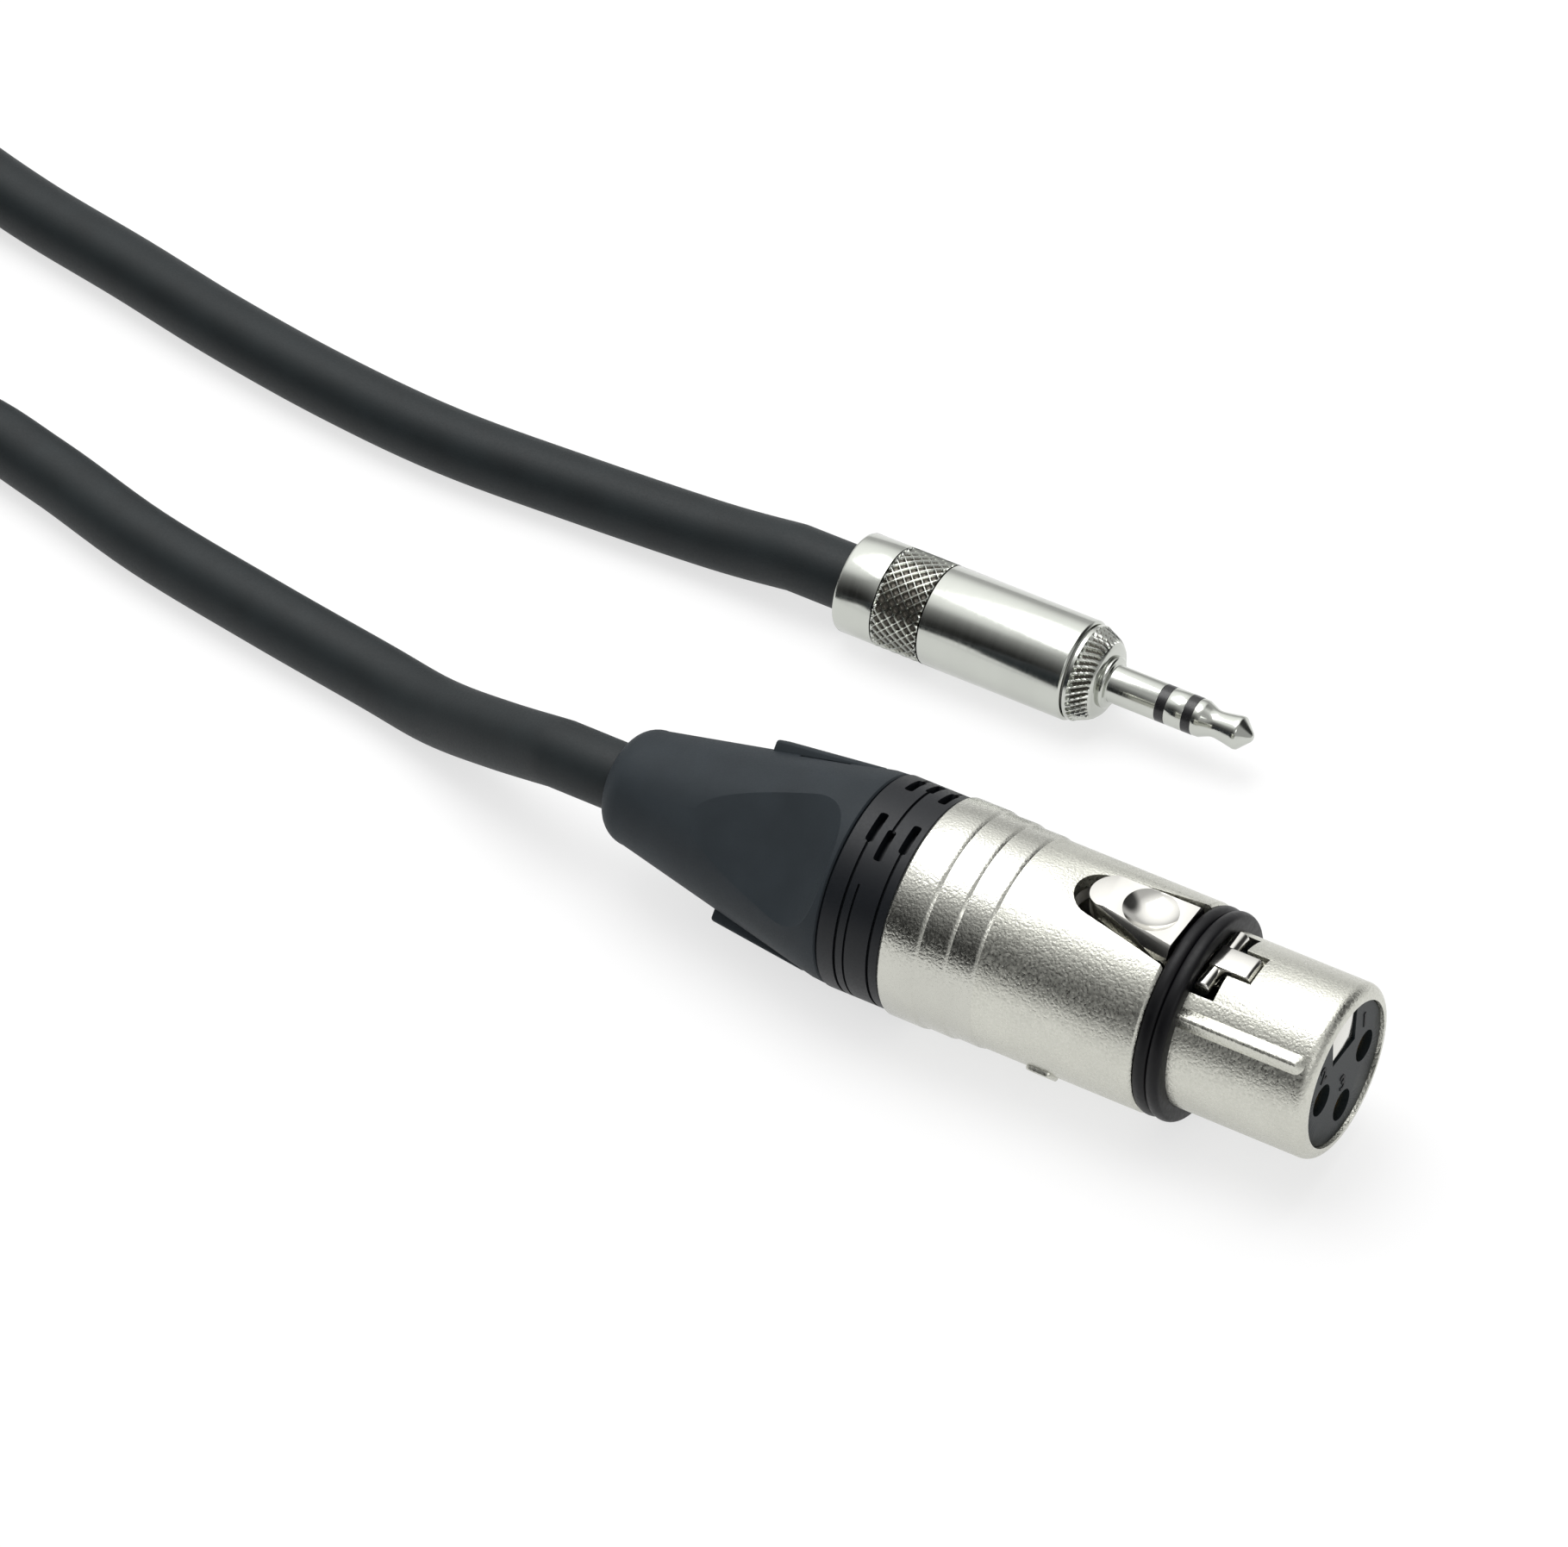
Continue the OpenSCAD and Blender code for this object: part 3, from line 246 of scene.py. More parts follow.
def active_edit(piece, mode="EDIT"):
    """Make a piece the only one that operators act on."""
    if bpy.context.object and bpy.context.object.mode != "OBJECT":
        bpy.ops.object.mode_set(mode="OBJECT")
    bpy.ops.object.select_all(action="DESELECT")
    piece.select_set(True)
    bpy.context.view_layer.objects.active = piece
    if mode == "EDIT":
        bpy.ops.object.mode_set(mode="EDIT")
        bpy.ops.mesh.select_mode(type="VERT")
        bpy.ops.mesh.select_all(action="SELECT")


def applied(piece, kind, **settings):
    """Add one modifier to a piece and apply it."""
    active_edit(piece, "OBJECT")
    modifier = piece.modifiers.new("step", kind)
    for setting, value in settings.items():
        setattr(modifier, setting, value)
    bpy.ops.object.modifier_apply(modifier=modifier.name)
    return piece


def eased(piece, width, segments=3, angle=30):
    """Round off the edges that are sharper than an angle."""
    return applied(piece, "BEVEL", width=width * mm, segments=segments,
                   limit_method="ANGLE", angle_limit=math.radians(angle))


def smooth(piece, angle=35):
    """Shade a piece smooth, apart from its sharp edges."""
    active_edit(piece, "OBJECT")
    bpy.ops.object.shade_smooth_by_angle(angle=math.radians(angle))
    return piece


def plate(name, outline, low, high, plane="XY"):
    """Cut a plate to an outline, between two levels on the axis square to it."""
    order = {"XY": lambda u, v, w: (u, v, w), "XZ": lambda u, v, w: (u, w, v),
             "YZ": lambda u, v, w: (w, u, v)}[plane]
    bpy.ops.object.select_all(action="DESELECT")
    bpy.ops.mesh.primitive_circle_add(vertices=len(outline), radius=mm, fill_type="NGON")
    piece = bpy.context.object
    piece.name = name
    for vertex, (u, v) in zip(piece.data.vertices, outline):
        vertex.co = Vector(order(u, v, low)) * mm
    active_edit(piece)
    bpy.ops.mesh.extrude_region_move(
        TRANSFORM_OT_translate={"value": Vector(order(0, 0, high - low)) * mm})
    bpy.ops.mesh.select_all(action="SELECT")
    bpy.ops.mesh.normals_make_consistent(inside=False)
    bpy.ops.object.mode_set(mode="OBJECT")
    return piece


def round_box(width, height, radius, steps=6):
    """The outline of a box with rounded corners, about the origin."""
    outline = []
    for corner, (u, v) in enumerate(((1, 1), (-1, 1), (-1, -1), (1, -1))):
        for i in range(steps + 1):
            a = math.radians(90 * (corner + i / steps))
            outline.append(((width / 2 - radius) * u + radius * math.cos(a),
                            (height / 2 - radius) * v + radius * math.sin(a)))
    return outline


def cut(piece, tool):
    """Cut a tool's shape out of a piece and throw the tool away."""
    applied(piece, "BOOLEAN", operation="DIFFERENCE", solver="EXACT", object=tool)
    bpy.data.objects.remove(tool)
    return piece


tie = plate("tie", hugging(cable_d / 2 + tie_gap + tie_t), -tie_w / 2, tie_w / 2, "XZ")
cut(tie, plate("room", hugging(cable_d / 2 + tie_gap), -tie_w, tie_w, "XZ"))
eased(tie, 0.2, 2)
tie.rotation_euler = (0, 0, tie_angle)
tie.location = (coil_centre[0] * mm, coil_centre[1] * mm, 0)
bpy.ops.object.transform_apply()
smooth(tie)
tape = finish("tape", (0.018, 0.018, 0.02), 0.9, grain=0.35, bump=0.12, mottle=1.5, tone=0.35)
tape.node_tree.nodes["Principled BSDF"].inputs["Sheen Weight"].default_value = 0.4
tie.data.materials.append(tape)
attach(tie, "lead")
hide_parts("coil_tie")

# ---------- Socket shell ----------
# The die-cast body and plug barrel in one, with three rolled rings at its rear, a window
# for the push button and a T-shaped opening for the hook. Blasted and nickel plated.
rim_x = 0.35
barrel_r = 8.0
body_r = 9.6
seal_front_x = -12.65
seal_rear_x = -15.25
shell_rear_x = -39.85
barrel_bore_r = 6.75
body_bore_r = 8.2
bore_step_x = -17.05
rim_round = 1.1
ring_ends = (-30.75, -33.45, -36.15)


def turned(name, stations, sides=96, axis=(0, 0)):
    """Turn a piece about a line along X, from (x, radius) stations around its section."""
    x, radius = stations[0]
    bpy.ops.object.select_all(action="DESELECT")
    bpy.ops.mesh.primitive_circle_add(
        vertices=sides, radius=radius * mm, rotation=(0, math.pi / 2, 0),
        location=(x * mm, axis[0] * mm, axis[1] * mm))
    piece = bpy.context.object
    piece.name = name
    bpy.ops.object.transform_apply()
    active_edit(piece)
    for next_x, next_radius in stations[1:]:
        next_radius = max(next_radius, 0.0005)
        bpy.ops.mesh.extrude_edges_move(
            TRANSFORM_OT_translate={"value": ((next_x - x) * mm, 0, 0)})
        bpy.ops.transform.resize(
            value=(1, next_radius / radius, next_radius / radius),
            center_override=(next_x * mm, axis[0] * mm, axis[1] * mm))
        x, radius = next_x, next_radius
    bpy.ops.mesh.select_all(action="SELECT")
    bpy.ops.mesh.remove_doubles(threshold=0.002 * mm)
    bpy.ops.mesh.normals_make_consistent(inside=False)
    bpy.ops.object.mode_set(mode="OBJECT")
    return piece


def arc(x, radius, r, start, end, steps=8):
    """Stations around a quarter or less of a rounded edge."""
    return [(x + r * math.cos(math.radians(start + (end - start) * i / steps)),
             radius + r * math.sin(math.radians(start + (end - start) * i / steps)))
            for i in range(steps + 1)]


def joined(piece, *others):
    """Join pieces into the first one."""
    active_edit(piece, "OBJECT")
    for other in others:
        other.select_set(True)
    bpy.ops.object.join()
    return piece


shell = turned("socket_shell", [
    (shell_rear_x, body_bore_r), (shell_rear_x, 9.8), (shell_rear_x + 0.25, 10.05),
    (ring_ends[2] - 0.4, 10.05), (ring_ends[2] - 0.2, 10.0), (ring_ends[2], 9.87),
    (ring_ends[1] - 0.4, 9.9), (ring_ends[1] - 0.2, 9.86), (ring_ends[1], 9.72),
    (ring_ends[0] - 0.4, 9.75), (ring_ends[0] - 0.2, 9.71), (ring_ends[0], body_r - 0.03),
    (ring_ends[0] + 0.4, body_r),
    (seal_rear_x - 0.25, body_r), (seal_rear_x, body_r - 0.25), (seal_rear_x, barrel_r),
    *arc(rim_x - rim_round, barrel_r - rim_round, rim_round, 90, 0), (rim_x, barrel_bore_r),
    (bore_step_x, barrel_bore_r), (bore_step_x, body_bore_r), (shell_rear_x, body_bore_r)],
    sides=128)
window_end_x = -23.3
window_end_r = 2.6
window_half = 4.25
window = [(seal_rear_x + 0.001, -window_half), (seal_rear_x + 0.001, window_half)] + [
    (window_end_x + window_end_r * math.cos(math.radians(a)),
     window_end_r * math.sin(math.radians(a))) for a in range(98, 263, 6)]
cut(shell, plate("window", window, 5, 12))
opening_x = (seal_front_x - 0.55, -10.4, -8.2)
opening_half = (4.2, 1.75)
opening = [
    (opening_x[0], -opening_half[0]), (opening_x[1], -opening_half[0]),
    (opening_x[1], -opening_half[1]), (opening_x[2], -opening_half[1]),
    (opening_x[2], opening_half[1]), (opening_x[1], opening_half[1]),
    (opening_x[1], opening_half[0]), (opening_x[0], opening_half[0])]
cut(shell, plate("opening", opening, 4, 12))
eased(shell, 0.07, 2, 25)
rib_end_x = rim_x - 1.85
rib_half = 1.1
rib_crest = 0.16         # the crest's share of the foot's width
rib_z = (7.75, 8.6)
rib_turn = 48
rib = plate("rib", [(seal_front_x - 0.3, -rib_half), (rib_end_x, -rib_half)] + [
    (rib_end_x + rib_half * math.cos(math.radians(a)), rib_half * math.sin(math.radians(a)))
    for a in range(-75, 76, 15)] + [(rib_end_x, rib_half), (seal_front_x - 0.3, rib_half)],
    *rib_z)
for vertex in rib.data.vertices:
    if vertex.co.z > sum(rib_z) / 2 * mm:
        vertex.co.y *= rib_crest
        past_end = max(0.0, vertex.co.x - rib_end_x * mm)
        vertex.co.x -= past_end * (1 - rib_crest)
eased(rib, 0.12, 3, 30)
rib.rotation_euler = (math.radians(rib_turn), 0, 0)
bump_x = shell_rear_x + 15
bump_turn = 130
bump = plate("bump", round_box(2.6, 2.4, 0.6), body_r - 0.4, body_r + 0.35)
eased(bump, 0.2, 2, 60)
bump.location = (bump_x * mm, 0, 0)
active_edit(bump, "OBJECT")
bpy.ops.object.transform_apply()
bump.rotation_euler = (math.radians(bump_turn), 0, 0)
for piece in (rib, bump):
    active_edit(piece, "OBJECT")
    bpy.ops.object.transform_apply()
joined(shell, rib, bump)
smooth(shell)
satin = finish("satin_nickel", (0.61, 0.61, 0.55), 0.33, metallic=1.0, grain=0.24, bump=0.05,
               spread=0.12, mottle=6.0, tone=0.04)
rolled = finish("rolled_nickel", (0.56, 0.56, 0.51), 0.22, metallic=1.0, grain=0.24, bump=0.04,
                spread=0.1, mottle=6.0, tone=0.04)
shell.data.materials.append(satin)
shell.data.materials.append(rolled)
for face in shell.data.polygons:
    across = math.hypot(face.center.y, face.center.z)
    if face.center.x < ring_ends[0] * mm and across > 9.5 * mm:
        face.material_index = 1
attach(shell, "lead")
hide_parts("shell")

# ---------- Seal ring ----------
# A black rubber ring stretched into the groove between barrel and body. Two rounded
# ridges take up play in the mating shell.
seal_steps = 40
seal_x = (seal_rear_x + 0.02, seal_front_x - 0.02)
seal_bore_r = barrel_r + 0.03
valley_r = 9.2
ridge_h = 0.35
seal = turned("seal_ring_rubber", [(seal_x[0], seal_bore_r)] + [
    (seal_x[0] + (seal_x[1] - seal_x[0]) * i / seal_steps,
     valley_r + ridge_h * abs(math.sin(2 * math.pi * i / seal_steps)) ** 0.45)
    for i in range(seal_steps + 1)] + [(seal_x[1], seal_bore_r), (seal_x[0], seal_bore_r)])
smooth(seal, 50)
rubber = finish("seal_rubber", (0.002, 0.002, 0.003), 0.42, grain=0.4, bump=0.003, tone=0.1,
                shine=0.22)
seal.data.materials.append(rubber)
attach(seal, "lead")
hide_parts("seal_ring")

# ---------- Insert ----------
# The moulded block that holds the contacts, glass-filled nylon with a fine eroded face. The
# latch's cross lug dips into a pocket in its top, and the numbers of the contacts are raised.
plastic = finish("insert_plastic", (0.009, 0.014, 0.016), 0.5, grain=0.12, bump=0.006, tone=0.12,
                 shine=0.32)


def merged_copy(node, name):
    """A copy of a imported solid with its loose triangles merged, ready to be worked on."""
    made = bpy.data.objects.new(name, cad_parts[node].data.copy())
    bpy.context.scene.collection.objects.link(made)
    active_edit(made)
    bpy.ops.mesh.remove_doubles(threshold=0.001 * mm)
    bpy.ops.object.mode_set(mode="OBJECT")
    made.data.materials.clear()
    return made


pocket_x = (-13.1, -10.9)
pocket_z = (5.15, 9)
pocket_half = 4.0
insert = merged_copy("insert", "insert_block")
cut(insert, plate("lug_pocket", [
    (pocket_x[0], pocket_z[0]), (pocket_x[1], pocket_z[0]), (pocket_x[1], pocket_z[1]),
    (pocket_x[0], pocket_z[1])], -pocket_half, pocket_half, "XZ"))
smooth(insert, 30)
insert.data.materials.append(plastic)
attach(insert, "lead")
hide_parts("insert")
marking = finish("number_black", (0.003, 0.003, 0.004), 0.5, grain=0.12, bump=0.004, shine=0.2)
for number, (y, z) in (("1", (3.6, 3.2)), ("2", (-3.6, 2.8)), ("3", (0, -1.15))):
    bpy.ops.object.select_all(action="DESELECT")
    bpy.ops.object.text_add(location=(-0.05 * mm, y * mm, z * mm),
                            rotation=(math.pi / 2, 0, math.pi / 2))
    mark = bpy.context.object
    mark.name = "number_" + number
    mark.data.body = number
    mark.data.size = 2.2 * mm
    mark.data.extrude = 0.12 * mm
    mark.data.offset = 0.04 * mm
    mark.data.align_x = "CENTER"
    mark.data.align_y = "CENTER"
    bpy.ops.object.convert(target="MESH")
    bpy.ops.object.transform_apply()
    mark.data.materials.append(marking)
    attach(mark, "lead")

# ---------- Contacts ----------
# Three turned brass sockets with a flash of gold, slit so that they grip the pins, and
# the sheet clip that ties the first of them to the shell.
# The gold is the plating's colour, darkened as painted shade for the contacts that sit deep in
# their holes.
gold = finish("contact_plating", (0.62, 0.47, 0.22), 0.3, metallic=1.0, grain=0.2, bump=0.002)
for node in ("contact_1", "contact_2", "contact_3", "ground_clip"):
    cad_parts[node].data.materials.clear()
    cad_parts[node].data.materials.append(gold)

# ---------- Latch ----------
# One casting: the toe in the face slot, the hook with its cross lug, and the push button
# with a thumb recess. It is polished and nickel plated, and turns on two trunnions.
hook_x = (-12.45, -8.5)
hook_top = 7.95
button_x = (-24.45, -15.45)
button_end_x = button_x[0] + 2.1
button_low_z = 5.7
button_half = 3.75
button_high_z = 10.3
arm_half = 1.7
toe_half = 1.85
hook_half = 1.3
lug_x = -11.85
lug_half = 3.6
trunnion_half = 2.65
arm = eased(plate("latch", [
    (-2.0, 3.6), (-2.0, 5.95), (-17.5, 5.95), (-17.5, 5.7), (-15.3, 4.7), (-3.5, 4.7),
    (-3.2, 3.6)], -arm_half, arm_half, "XZ"), 0.1)
toe = eased(plate("toe", [
    (-0.15, 2.6), (-0.15, 6.3), (-3.3, 6.3), (-3.3, 2.6)], -toe_half, toe_half, "XZ"), 0.08)
hook = plate("hook", [
    (hook_x[1], 5.1), (hook_x[1], 7.5), (hook_x[1] - 0.4, hook_top), (hook_x[0], hook_top),
    (hook_x[0], 5.1)], -hook_half, hook_half, "XZ")
eased(hook, 0.15, 2, 40)


def bar(name, length, radius, x, z):
    """A round bar across the latch, with softened ends."""
    bpy.ops.object.select_all(action="DESELECT")
    bpy.ops.mesh.primitive_cylinder_add(
        vertices=32, radius=radius * mm, depth=length * mm, rotation=(math.pi / 2, 0, 0),
        location=(x * mm, 0, z * mm))
    made = bpy.context.object
    made.name = name
    bpy.ops.object.transform_apply()
    return eased(made, 0.12, 3, 60)


lug = bar("lug", 2 * lug_half, 0.72, lug_x, 7.05)
trunnion = bar("trunnion", 2 * trunnion_half, 0.5, -2, 4.2)


def trimmed(piece, point, normal):
    """Cut away what lies beyond a plane and close the cut."""
    active_edit(piece)
    bpy.ops.mesh.bisect(plane_co=Vector(point) * mm, plane_no=normal, use_fill=True,
                        clear_outer=True, threshold=1e-7)
    bpy.ops.object.mode_set(mode="OBJECT")
    return piece


button = plate("button", [(button_x[1], -button_half), (button_x[1], button_half)] + [
    (button_end_x + 2.1 * math.cos(math.radians(a)), 2.1 * math.sin(math.radians(a)))
    for a in range(100, 261, 8)], button_low_z, 11)
trimmed(button, (button_end_x, 0, button_high_z), (0.1, 0, 1))
trimmed(button, (button_end_x, 0, button_high_z), (-0.12, 0, 1))
for side in (-1, 1):
    trimmed(button, (0, side * button_half, 7.7), (0, side, 0.5))
    trimmed(button, (0, side * 2.35, 9.9), (0, side, 1.2))
recess_r = 4.1
recess_low_z = 9.1
bpy.ops.object.select_all(action="DESELECT")
bpy.ops.mesh.primitive_uv_sphere_add(
    segments=96, ring_count=64, radius=recess_r * mm,
    location=((button_end_x + 3.9) * mm, 0, (recess_low_z + recess_r) * mm))
cut(button, bpy.context.object)
step_x = -16.35
cut(button, plate("step", [(step_x, 5), (step_x + 1.35, 5), (step_x + 1.35, 8.2), (step_x, 8.2)],
                  -4.5, 4.5, "XZ"))
eased(button, 0.16, 3, 28)
wings = eased(plate("wings", round_box(6.5, 9.0, 0.6), button_low_z, 6.5), 0.12)
active_edit(wings)
bpy.ops.transform.translate(value=(-20.75 * mm, 0, 0))
latch = joined(arm, toe, hook, lug, trunnion, button, wings)
latch.name = "push_latch_casting"
smooth(latch)
polished = finish("polished_nickel", (0.70, 0.69, 0.65), 0.13, metallic=1.0, grain=0.5,
                  bump=0.001, spread=0.03, tone=0.03)
latch.data.materials.append(polished)
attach(latch, "push_latch")
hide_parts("latch")

# ---------- Latch spring ----------
# A small compression spring of drawn steel wire, on the insert's post below the button. It
# pushes the latch out, and gets a mesh of its own.
spring = smooth(merged_copy("latch_spring", "spring_coil"), 60)
steel = finish("spring_wire", (0.62, 0.62, 0.62), 0.3, metallic=1.0, grain=0.2, bump=0.002)
spring.data.materials.append(steel)
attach(spring, "lead")
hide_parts("latch_spring")
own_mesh(spring)

# ---------- Chuck and wires ----------
# The white chuck grips the jacket inside the shell, and three insulated wires run from
# the jacket's end to the solder cups. In the jack, two wires and the twisted screen.
ivory = finish("chuck_plastic", (0.80, 0.79, 0.74), 0.45, grain=0.3, bump=0.004)
red = finish("red_insulation", (0.45, 0.02, 0.02), 0.4, grain=0.3, bump=0.002)
blue = finish("blue_insulation", (0.02, 0.04, 0.28), 0.4, grain=0.3, bump=0.002)
copper = finish("twisted_copper", (0.72, 0.40, 0.22), 0.35, metallic=1.0, grain=0.15, bump=0.03)
for node, coat in (("chuck", ivory), ("conductor_1", ivory), ("conductor_2", red),
                   ("conductor_3", blue), ("jack_wire_tip", red), ("jack_wire_ring", ivory),
                   ("jack_wire_sleeve", copper), ("jack_liner", ivory)):
    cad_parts[node].data.materials.clear()
    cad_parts[node].data.materials.append(coat)

# ---------- Boot collar ----------
# The threaded ring of the boot, hard black plastic. Fine grooves run round it, and at two
# places on opposite sides short slots at their ends give the fingers grip.
collar_r = 9.8
collar_rear_x = -46.1
nose_x = -34.2
nose_bore_r = 7.2
thread_r = 8.12
groove_w = 0.26
groove_depth = 0.35
slot_w = 0.8
slot_depth = 1.3
slot_turn = 18

collar = turned("boot_collar_ring", [
    (nose_x, nose_bore_r), (nose_x, thread_r), (shell_rear_x, thread_r),
    (shell_rear_x, collar_r - 0.1),
    (shell_rear_x - 0.1, collar_r), (collar_rear_x + 0.3, collar_r),
    (collar_rear_x + 0.05, collar_r - 0.4), (collar_rear_x, collar_r - 0.45),
    (collar_rear_x, 7.5), (-45.8, 7.5), (-45.8, 4.9), (-45.0, 4.9), (-40.3, nose_bore_r),
    (nose_x, nose_bore_r)], sides=128)


def arc_tool(x, width, depth, start, end, steps=24):
    """A curved bar that cuts a slot part of the way round the collar."""
    turns = [math.radians(start + (end - start) * i / steps) for i in range(steps + 1)]
    return plate("arc_tool", [(10.6 * -math.cos(a), 10.6 * math.sin(a)) for a in turns]
                 + [((collar_r - depth) * -math.cos(a), (collar_r - depth) * math.sin(a))
                    for a in reversed(turns)], x - width / 2, x + width / 2, "YZ")


def groove(x, start, end):
    """Cut a fine groove part of the way round the collar."""
    cut(collar, arc_tool(x, groove_w, groove_depth, start, end))


def grip_slot(x, start):
    """Cut a short deep slot with softened edges."""
    cut(collar, eased(arc_tool(x, slot_w, slot_depth, start, start + slot_turn, 8), 0.25))


for half in (0, 180):
    for x in (-44.1, -40.85):
        groove(x, half - 72, half + 80)
        for start in (66, -74):
            grip_slot(x, half + start)
    groove(-42.6, half + 60, half + 128)
    for start in (58, 112):
        grip_slot(-42.6, half + start)
    cut(collar, arc_tool(-43.2, 0.2, 0.3, half - 36, half + 44))
smooth(collar)
hard_black = finish("collar_plastic", (0.005, 0.0065, 0.009), 0.46, grain=0.2, bump=0.003,
                    shine=0.3)
collar.data.materials.append(hard_black)
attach(collar, "lead")
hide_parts("boot_collar")

# ---------- Boot ----------
# The soft boot that guides the cable out: a long cone with a rounded end, two flats for
# the thumb and finger, and a fin in a shallow groove on each side between them.
boot_front_r = 9.7
boot_rear_r = 5.35
boot_round = 2.6
hole_r = 3.2


def cone_r(x):
    """Radius of the boot's cone at a station."""
    return boot_rear_r + (boot_front_r - boot_rear_r) * (x + 68.55) / 21.5


boot = turned("boot_cone", [
    (-71.15, hole_r), *[(-68.55 - boot_round * math.cos(math.radians(a)),
                         boot_rear_r - boot_round * (1 - math.sin(math.radians(a))))
                        for a in range(10, 91, 8)],
    *[(x, cone_r(x)) for x in (-64, -60, -56, -52, -47.5)],
    (collar_rear_x - 0.15, boot_front_r), (collar_rear_x, boot_front_r - 0.15),
    (collar_rear_x, 7.45), (-45.8, 7.45), (-45.8, 4.8), (-53.05, hole_r), (-71.15, hole_r)],
    sides=128)
flat_r = 6.85
flat_turn = 47
scoop_r = 5
scoop_x = collar_rear_x - 0.35
scoop_turn = math.acos(1 - (cone_r(scoop_x) - flat_r) / scoop_r)
scoop_steps = 12
for side in (0, 180):
    flat = plate("flat", [(-73, flat_r)] + [
        (scoop_x + scoop_r * (math.sin(scoop_turn * i / scoop_steps) - math.sin(scoop_turn)),
         flat_r + scoop_r * (1 - math.cos(scoop_turn * i / scoop_steps)))
        for i in range(scoop_steps + 1)] + [(scoop_x, 11), (-73, 11)], -11, 11, "XZ")
    flat.rotation_euler = (math.radians(flat_turn + side), 0, 0)
    active_edit(flat, "OBJECT")
    bpy.ops.object.transform_apply()
    cut(boot, flat)
eased(boot, 0.3, 3, 12)
fin_x = (-58.35, -48.55)
fin_half = 1.3
fin_groove_x = (-55.65, -50.95)
fins = []
for side in (90, 270):
    fin = eased(plate("fin", [
        (fin_x[0], cone_r(fin_x[0]) - 1), (fin_x[0], cone_r(fin_x[0]) + 0.95),
        (fin_x[1], cone_r(fin_x[1]) + 0.02), (fin_x[1], cone_r(fin_x[1]) - 1)],
        -fin_half, fin_half, "XZ"), 0.28, 3, 20)
    fin.rotation_euler = (math.radians(flat_turn + side), 0, 0)
    for edge in (-1, 1):
        tool = plate("tool", [
            (fin_groove_x[0], cone_r(fin_groove_x[0]) - 0.45),
            (fin_groove_x[1], cone_r(fin_groove_x[1]) - 0.45),
            (fin_groove_x[1], cone_r(fin_groove_x[1]) + 2),
            (fin_groove_x[0], cone_r(fin_groove_x[0]) + 2)],
            edge * (fin_half + 0.25) - 0.25, edge * (fin_half + 0.25) + 0.25, "XZ")
        tool.rotation_euler = (math.radians(flat_turn + side), 0, 0)
        active_edit(tool, "OBJECT")
        bpy.ops.object.transform_apply()
        cut(boot, tool)
    active_edit(fin, "OBJECT")
    bpy.ops.object.transform_apply()
    fins.append(fin)
joined(boot, *fins)
smooth(boot, 40)
soft_black = finish("boot_polymer", (0.021, 0.027, 0.032), 0.6, grain=0.14, bump=0.006,
                    tone=0.1, shine=0.2)
boot.data.materials.append(soft_black)
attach(boot, "lead")
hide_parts("boot_gland")

# ---------- Jack handle ----------
# A turned brass tube, nickel plated and bright, with a band of crossed knurling near the
# cable. It screws onto the thread of the plug and closes around the jacket.
handle_front_x = -46.05
handle_rear_x = -69.4
handle_r = 4.725
handle_bore_r = 3.95
handle_hole_r = 3.2
knurl_x = (-65.3, -60.65)
handle = turned("jack_handle_tube", [
    (handle_rear_x, handle_hole_r), (handle_rear_x, handle_r - 0.35),
    (handle_rear_x + 0.12, handle_r - 0.1),
    (handle_rear_x + 0.35, handle_r), (knurl_x[0] - 0.12, handle_r),
    (knurl_x[0], handle_r - 0.5), (knurl_x[1], handle_r - 0.5),
    (knurl_x[1] + 0.12, handle_r), (handle_front_x - 0.2, handle_r),
    (handle_front_x, handle_r - 0.2), (handle_front_x, handle_bore_r),
    (handle_rear_x + 1.2, handle_bore_r), (handle_rear_x + 1.2, handle_hole_r),
    (handle_rear_x, handle_hole_r)], sides=128, axis=jack_axis)
eased(handle, 0.05, 2, 40)
smooth(handle)
around, along = 28, 4.5
fine_steps = 12
pit = 0.4
knurl = turned("knurl", [
    (knurl_x[0] + (knurl_x[1] - knurl_x[0]) * i / (along * fine_steps), handle_r)
    for i in range(round(along * fine_steps) + 1)], sides=around * fine_steps, axis=jack_axis)
for vertex in knurl.data.vertices:
    y, z = vertex.co.y - jack_axis[0] * mm, vertex.co.z - jack_axis[1] * mm
    u = math.atan2(z, y) / (2 * math.pi) * around
    v = (vertex.co.x / mm - knurl_x[0]) / (knurl_x[1] - knurl_x[0]) * along
    ridges = max(abs(((u + v) % 1) - 0.5), abs(((u - v) % 1) - 0.5)) * 2
    edge = min(1.0, 5 * min(v, along - v))
    sink = pit * min(1.0, (1 - ridges) / 0.5) * edge
    scale = 1 - sink / handle_r
    vertex.co.y = jack_axis[0] * mm + y * scale
    vertex.co.z = jack_axis[1] * mm + z * scale
smooth(knurl, 60)
joined(handle, knurl)
turned_nickel = finish("turned_nickel", (0.54, 0.555, 0.515), 0.16, metallic=1.0, grain=0.12,
                       bump=0.0015, spread=0.05, tone=0.03, stretch=(1, 40, 40),
                       centre=(0, *jack_axis))
# The knurl's pits and the crown's flutes take a darker copy of the nickel: painted shade in their
# hollows.
painted_pit_shade = finish("knurl_painted_shade", (0.16, 0.15, 0.13), 0.5, metallic=1.0, grain=0.1, bump=0.01)
handle.data.materials.append(turned_nickel)
handle.data.materials.append(painted_pit_shade)
# Faces down in the knurl's pits get the painted shade.
for face in handle.data.polygons:
    radius = math.hypot(face.center.y / mm - jack_axis[0], face.center.z / mm - jack_axis[1])
    in_band = knurl_x[0] + 0.1 < face.center.x / mm < knurl_x[1] - 0.1
    if in_band and handle_r - 0.45 < radius < handle_r - 0.17:
        face.material_index = 1
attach(handle, "lead")
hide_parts("jack_handle")

